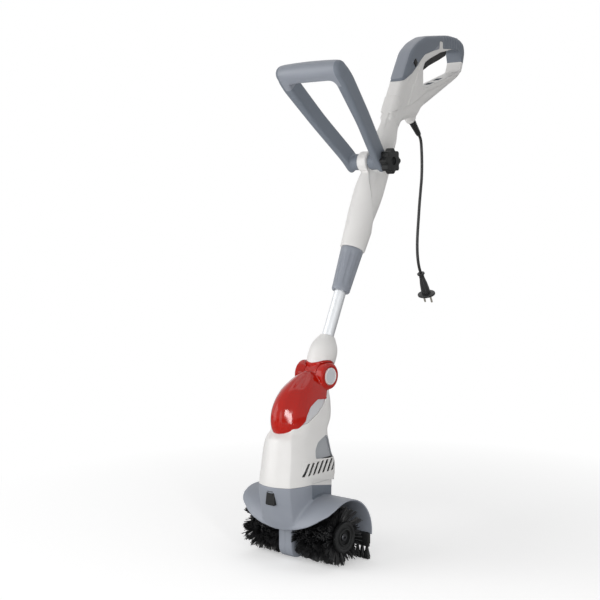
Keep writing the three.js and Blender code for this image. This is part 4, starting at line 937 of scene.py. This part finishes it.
def pressed_in(vert):
    """How deep the moulded lines of the grip and the shaft lie at a point, in millimetres."""
    x, y, z = vert.co
    flank, depth = ramp(abs(x), 8, 14), 0.0
    # The step under and behind the bulge, on the flanks and across the front
    if 560 < z < 745:
        behind = -away_from(BULGE_LINE, y, z)
        round_flank = ramp(behind, -0.8, 0.8) * ramp(abs(x), 6, 11) * (1 - ramp(y, 22, 58)) * (1 - ramp(z, 700, 734))
        across_front = ramp(606 - z, -0.8, 0.8) * ramp(-y, 20, 28)
        depth += BULGE_STEP * ramp(z, 560, 600) * max(round_flank, across_front)
    # Below the ridge of the loop's lower arm
    if 600 < z < 850 and y > 5:
        below = -away_from(RIDGE_LINE, y, z)
        fall = RIDGE_STEP * ramp(below, -0.7, 0.7) + RIDGE_FALL * min(max(below, 0), 26)
        depth += flank * fall * ramp(y, 5, 30)
    # The grained band at the cover's lower edge lies lower
    if 660 < z < 775 and y < 30:
        depth += BAND_STEP * ramp(-away_from(BAND_LINE, y, z), -0.6, 0.6)
    # Finger ribs at the loop's top
    level = level_at(y, z)
    if 440 < level < 530 and z > 840:
        rib = 0.5 - 0.5 * math.cos(2 * math.pi * (level - 446) / RIB_PITCH)
        within = ramp(level, 444, 450) * (1 - ramp(level, 518, 526)) * ramp(z - 0.36 * y, 812, 824)
        depth += RIB_DEPTH * flank * rib * within
    # The front narrows upward into a fin, with scooped flanks beside it
    if 335 < z < 484:
        turn = math.degrees(math.atan2(abs(x), -y))
        edge = 14 + 92 * max((470 - z) / 118, 0) ** 1.2
        within = ramp(z, 338, 352) * (1 - ramp(z, 468, 480))
        depth += FIN_DEPTH * ramp(turn, edge, edge + 5) * (1 - ramp(turn, edge + 40, edge + 100)) * within
    return depth


def grained_and_shaded(point):
    """Whether a point of the grip's cover takes the darker grained grey: the leathery grain, which on the top and
    the flanks is also painted shade beside the lighter front.
    """
    above = away_from(BAND_LINE, point.y, point.z)
    if above < 0 and point.z < 775 and point.y < 30:
        return True
    return level_at(point.y, point.z) > 428 or (above > 0 and abs(point.x) > 16)


def build_grip():
    shaft = loft([shaft_ring(height) for height in spread(SHAFT_LOW, SHAFT_LOW + SHAFT_TALL, 6)])
    plate = carved(
        slab(rounded(on_loop(LOOP_SHARES), 10, 5), LOOP_HALF, 11, 5, clamp=False),
        slab(rounded(on_loop(HOLE_SHARES), 5, 4), 40),
    )
    boss = rod_x(23, -12, 12, CLAMP_AT.y, CLAMP_AT.z, 2, 72)
    to_stick = (HEAD.inverted() @ STICK).inverted()
    root = aimed(to_stick @ Vector((0, *BOOT_AT)), to_stick.to_3x3() @ BOOT_RUN)
    spigot = moved(turned([(0, -16), (14, -16), (12.4, 3), (11.4, 4), (0, 4)], 48), root)
    grip = fused(1.3, 4, shaft, plate, boss, spigot)
    grip.normal_update()
    for vert, depth in [(vert, pressed_in(vert)) for vert in grip.verts]:
        vert.co -= vert.normal * depth
    saddles = side_rods(18.6, 12.2, PAST_ENDS, CLAMP_AT.y, CLAMP_AT.z, steps=64)
    lowered = [(along * TRIGGER_LONG, up * TRIGGER_TALL - 1.2) for along, up in TRIGGER_SHARES]
    slot = moved(slab(rounded(lowered, 4, 4), 8), IN_STICK)
    room = moved(slab([(12, 0), (133, 0), (133, 40), (12, 40)], 8), IN_STICK)
    lock = slab(diamond(9.8, 8.2), 15, middle=20)
    recesses = [
        slab(rounded([(y, z), (y + 15, z + 13), (y - 3, z + 34), (y - 18, z + 21)], 5), 9)
        for y, z in ((101, 752), (129, 779))
    ]
    grip = carved(grip, *saddles, rod(13.3, 280, 420, steps=64), slot, room, lock)
    cover_line = rounded(on_loop(COVER_SHARES), 5, 4)
    cover_tool, keep_tool = slab(cover_line, PAST_ENDS), slab(drawn_to(cover_line, 0.35), PAST_ENDS)
    # Painted shade: the floors of the two recesses take the darker grained grey, finish 1.
    shell = carved(grip.copy(), cover_tool, painted(joined(*recesses), 1))
    # The cover's top and flanks take the darker grey: grain and painted shade.
    cover = painted(carved(grip, keep_tool, operation="INTERSECT"), 1, grained_and_shaded)
    finished("shaft_moulding", shell, STICK, [WHITE_ABS, GRAIN_AND_SHADE_GREY],
             ["upper_shaft_left", "upper_shaft_right"], crease=40)
    finished("grip_shell", cover, STICK, [GREY_PP, GRAIN_AND_SHADE_GREY], ["grip_cover"], crease=40)

    bar = rounded([(along * TRIGGER_LONG, up * TRIGGER_TALL) for along, up in TRIGGER_BAR], 5, 5)
    finished("trigger_bar", slab(bar, 7, 2.2, 4), TRIGGER, [BLACK_NYLON], ["trigger"])

    low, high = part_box("lock_button")
    key = slab(diamond(9.2, 7.6), (high.x - low.x) / 2 / MM, 0.9, 2, middle=(low.x + high.x) / 2 / MM)
    finished("lock_diamond", key, STICK, [BLACK_NYLON], ["lock_button"])


# ---- second handle and knob

def build_second_handle():
    outer = [(50, -18), (50, 18), (70, 130), (85, 236), (82, 272)]
    inner = [(32, -18), (32, 18), (51, 130), (62, 249)]
    corners = outer + [(-x, z) for x, z in reversed(outer)] + [(-x, z) for x, z in inner] + inner[::-1]
    arms = outward(moved(slab(rounded(corners, 16, 5), 19, 6, 4),
                         Matrix.Rotation(math.radians(90), 4, "Z") @ Matrix.Diagonal((1, -1, 1, 1))))
    bar = [(0, -85), (10, -85), (14.6, -83), (17.2, -78), (18.6, -67), (19.8, -40), (20.4, 0)]
    bar = shifted(along_x(turned(bar + [(radius, -at) for radius, at in bar[-2::-1]], 72)), z=266)
    handle = fused(1.6, 6, arms, bar, *side_rods(18, 12.4, 38, edge=1, steps=64))
    painted(handle, 1, lambda p: p.z < 234 or abs(p.x) > 74)
    finished("handle_moulding", handle, CLAMP, [GREY_SMOOTH, GRAIN_AND_SHADE_GREY], ["aux_handle"])

    radius, wave, lobes, count = 28, 2.5, 8, 160
    outline = []
    for i in range(count):
        angle = 2 * math.pi * i / count
        reach = radius - wave + wave * math.cos(lobes * angle)
        outline.append((reach * math.cos(angle), reach * math.sin(angle)))
    star = carved(slab(outline, 9.5, 2.6, 4, middle=64.1), rod_x(9, 69, 80, edge=1))
    # The collar joins last, because a cut through bodies that overlap can lose one of them
    knob = joined(star, rod_x(13, 50.8, 56, edge=0.6))
    finished("clamp_knob", knob, CLAMP, [BLACK_NYLON], ["star_knob"])


# ---- brushes, hubs, leg

def strands(lines, radius):
    """Bristles as one mesh: each a four-sided filament through a few points."""
    curve = round_curve("strands", radius, 0)
    for points in lines:
        spline = curve.splines.new("POLY")
        spline.points.add(len(points) - 1)
        for knot, point in zip(spline.points, points):
            knot.co = (*point, 1)
    obj = placed("strands", curve)
    bm = evaluated(obj)
    bpy.data.curves.remove(curve)
    return bm


def build_brushes():
    chance = random.Random(11)
    inner, outer, root_radius = 20.6, 107, 17
    longest, inmost, outmost = 61.8, 19.6, 125.6
    rows, around, each = 10, 22, 17
    for name, side in (("left", -1), ("right", 1)):
        lines = []
        for row in range(rows):
            for tuft in range(around):
                angle = 2 * math.pi * (tuft + 0.5 * (row % 2)) / around + chance.uniform(-0.06, 0.06)
                x = inner + (outer - inner) * (row + 0.5) / rows + chance.uniform(-1.5, 1.5)
                lean = chance.gauss(0, 0.085)
                drift = chance.gauss(0, 3.6)
                tuft_reach = chance.triangular(51.5, longest, longest)
                for _ in range(each):
                    root = x + chance.uniform(-2.6, 2.6)
                    root_turn = angle + chance.uniform(-0.12, 0.12)
                    end_turn = angle + 0.7 * (root_turn - angle) + lean + chance.gauss(0, 0.06)
                    share = (root - inner) / (outer - inner)
                    spill = 15 * max(0, share - 0.7) / 0.3 * chance.uniform(0.2, 1.2)
                    end = x + 0.8 * (root - x) + drift + chance.gauss(0, 2.4) + spill
                    end = max(min(end, outmost), inmost)
                    reach = min(tuft_reach + chance.triangular(-6, 2.5, 0), longest)
                    points = []
                    for t in (0, 0.5, 1):
                        radius = root_radius + (reach - root_radius) * t
                        turn = root_turn + (end_turn - root_turn) * t
                        along = root + (end - root) * t * t
                        points.append((side * along, radius * math.cos(turn), AXLE + radius * math.sin(turn)))
                    lines.append(points)
        core = sided(turned([(5.3, 20.4), (20, 20.4), (20, 107.6), (5.3, 107.6), (5.3, 20.4)], 48), side, z=AXLE)
        finished(f"{name}_bristles", joined(strands(lines, 0.82), core), HEAD, [FILAMENT],
                 [f"{name}_brush"])

        disc = turned([
            (5.4, 108.2), (30.5, 108.2), (31.6, 109), (32, 110.4), (32, 115.6), (31.2, 117.2), (29.6, 118),
            (27, 118), (25.6, 117.2), (24.8, 115.6), (19, 115.2), (18, 117.4), (16.6, 118), (15.8, 117.2),
            (15.6, 112.2), (5.4, 112.2), (5.4, 108.2),
        ], 72)
        finished(f"{name}_end_disc", sided(disc, side, z=AXLE), HEAD, [BLACK_NYLON],
                 [f"{name}_hub"])
        screw = sided(turned([
            (0, 98), (2.4, 98), (2.4, 112.2), (7.4, 112.2), (8, 112.8), (8, 114.4), (6.6, 115.9), (0, 116),
        ], 48), side)
        socket = rod_x(3.2, *sorted((side * 113.4, side * 120)), steps=6)
        finished(f"{name}_end_screw", shifted(carved(screw, socket), z=AXLE), HEAD, [BLACK_STEEL],
                 [f"{name}_hub_screw"])


def build_rear_strip():
    chance = random.Random(5)
    holder = slab(rounded([(70.5, 33), (79.8, 33), (79.8, 56), (74, 58), (70.5, 56)], 1.5, 4), 122, 1.2, 2)
    finished("rear_strip", holder, HEAD, [BLACK_NYLON], ["rear_brush_holder"])
    half, outmost, tufts, each, clear = 122, 121.5, 20, 64, 0.6
    lines = []
    for tuft in range(tufts):
        middle = half * ((2 * tuft + 1) / tufts - 1)
        for _ in range(each):
            root = middle + chance.uniform(-2.4, 2.4)
            end = middle + chance.uniform(-8, 8)
            end = min(max(end, -outmost), outmost)
            back = chance.uniform(-1.6, 1.6)
            low = chance.uniform(clear, 7) if chance.random() < 0.3 else clear
            lines.append([
                (root + (end - root) * t, 75.5 + back + 1.7 * back * t, 29 + (low - 29) * t) for t in (0, 0.4, 1)
            ])
    backing = slab(rounded([(73, 27), (78, 27), (78, 33.8), (73, 33.8)], 0.8, 2), outmost, 0.5, 2)
    finished("rear_bristles", joined(strands(lines, 0.6), backing), HEAD, [FILAMENT], ["rear_brush"])


def build_leg():
    post = rounded([(-54, 150), (-54, 9), (38, 9), (38, 150)], 26, 10)
    flange = slab([(-58, 146), (42, 146), (42, 150), (-58, 150)], 30, 0.8, 2)
    seam = slab(rounded([(-60, 4), (44, 4), (44, 145), (-60, 145)], 2), 0.25)
    core = slab(rounded([(-53.4, 150), (-53.4, 9.6), (37.4, 9.6), (37.4, 150)], 25.6, 10), 2)
    leg = carved(slab(post, 18, 3.2, 4), carved(seam, core))
    finished("gear_leg_moulding", joined(leg, flange), HEAD, [GREY_PP],
             ["gear_leg_left", "gear_leg_right"])


for build in (build_guard, build_housing, build_cap, build_neck, build_sleeve, build_grip, build_second_handle,
              build_brushes, build_rear_strip, build_leg):
    build()


# ---- floor, backdrop and light

def build_studio():
    bm = bmesh.new()
    bmesh.ops.create_grid(bm, x_segments=1, y_segments=1, size=9)
    mesh = bpy.data.meshes.new("floor")
    bm.to_mesh(mesh)
    bm.free()
    floor = placed("floor", mesh)
    floor.location.z = -0.0005

    # White paper, matt near the broom and plain white to the camera farther off
    paper = bpy.data.materials.new("white_studio_paper")
    paper.use_nodes = True
    tree = paper.node_tree
    tree.nodes.clear()
    rays = add(tree, "LightPath")
    matt = add(tree, "BsdfDiffuse", {"Color": linear("#ececec")})
    glow, bare = (add(tree, "Emission", {"Color": linear("#ffffff"), "Strength": power}) for power in (0.4, 1.0))
    lifted = add(tree, "AddShader", {0: matt.outputs[0], 1: glow.outputs[0]})
    place = add(tree, "TexCoord").outputs["Object"]
    length = add(tree, "VectorMath", {0: place}, operation="LENGTH")
    far = add(tree, "MapRange", {"Value": length.outputs["Value"], "From Min": 0.35, "From Max": 1.1})
    near = add(tree, "MixShader", {0: far.outputs["Result"], 1: lifted.outputs[0], 2: bare.outputs[0]})
    shown = add(tree, "MixShader", {0: rays.outputs["Is Camera Ray"], 1: matt.outputs[0], 2: near.outputs[0]})
    add(tree, "OutputMaterial", {"Surface": shown.outputs[0]})
    mesh.materials.append(paper)

    # Plain white where it is seen or mirrored, dimmer as a light
    world = bpy.data.worlds.new("studio")
    world.use_nodes = True
    bpy.context.scene.world = world
    tree = world.node_tree
    tree.nodes.clear()
    rays = add(tree, "LightPath")
    seen = rays.outputs["Is Camera Ray"]
    for kind in ("Is Glossy Ray", "Is Transmission Ray"):
        seen = add(tree, "Math", {0: seen, 1: rays.outputs[kind]}, operation="MAXIMUM").outputs[0]
    soft, plain = (
        add(tree, "Background", {"Color": linear("#ffffff"), "Strength": power}).outputs[0] for power in (0.33, 1.0)
    )
    mixed = add(tree, "MixShader", {0: seen, 1: soft, 2: plain})
    add(tree, "OutputWorld", {"Surface": mixed.outputs[0]})

    for name, spot, aim, size, power in (
        ("key_softbox", (-1400, -1750, 900), (0, 60, 600), (2, 2), 28.5),
        ("window_softbox", (1200, -810, 460), (0, 60, 380), (0.09, 0.9), 6),
        ("front_softbox", (640, -1700, 560), (0, 60, 500), (0.9, 1.2), 5.8),
        ("top_softbox", (-200, 500, 3000), (0, 120, 560), (1.6, 1.6), 9),
    ):
        data = bpy.data.lights.new(name, "AREA")
        data.shape = "RECTANGLE"
        data.size, data.size_y = size
        data.energy = power
        lamp = placed(name, data)
        lamp.location = HEAD @ Vector(spot)
        lamp.rotation_euler = (HEAD @ Vector(aim) - lamp.location).to_track_quat("-Z", "Y").to_euler()


build_studio()
bpy.context.scene.view_settings.view_transform = "Standard"
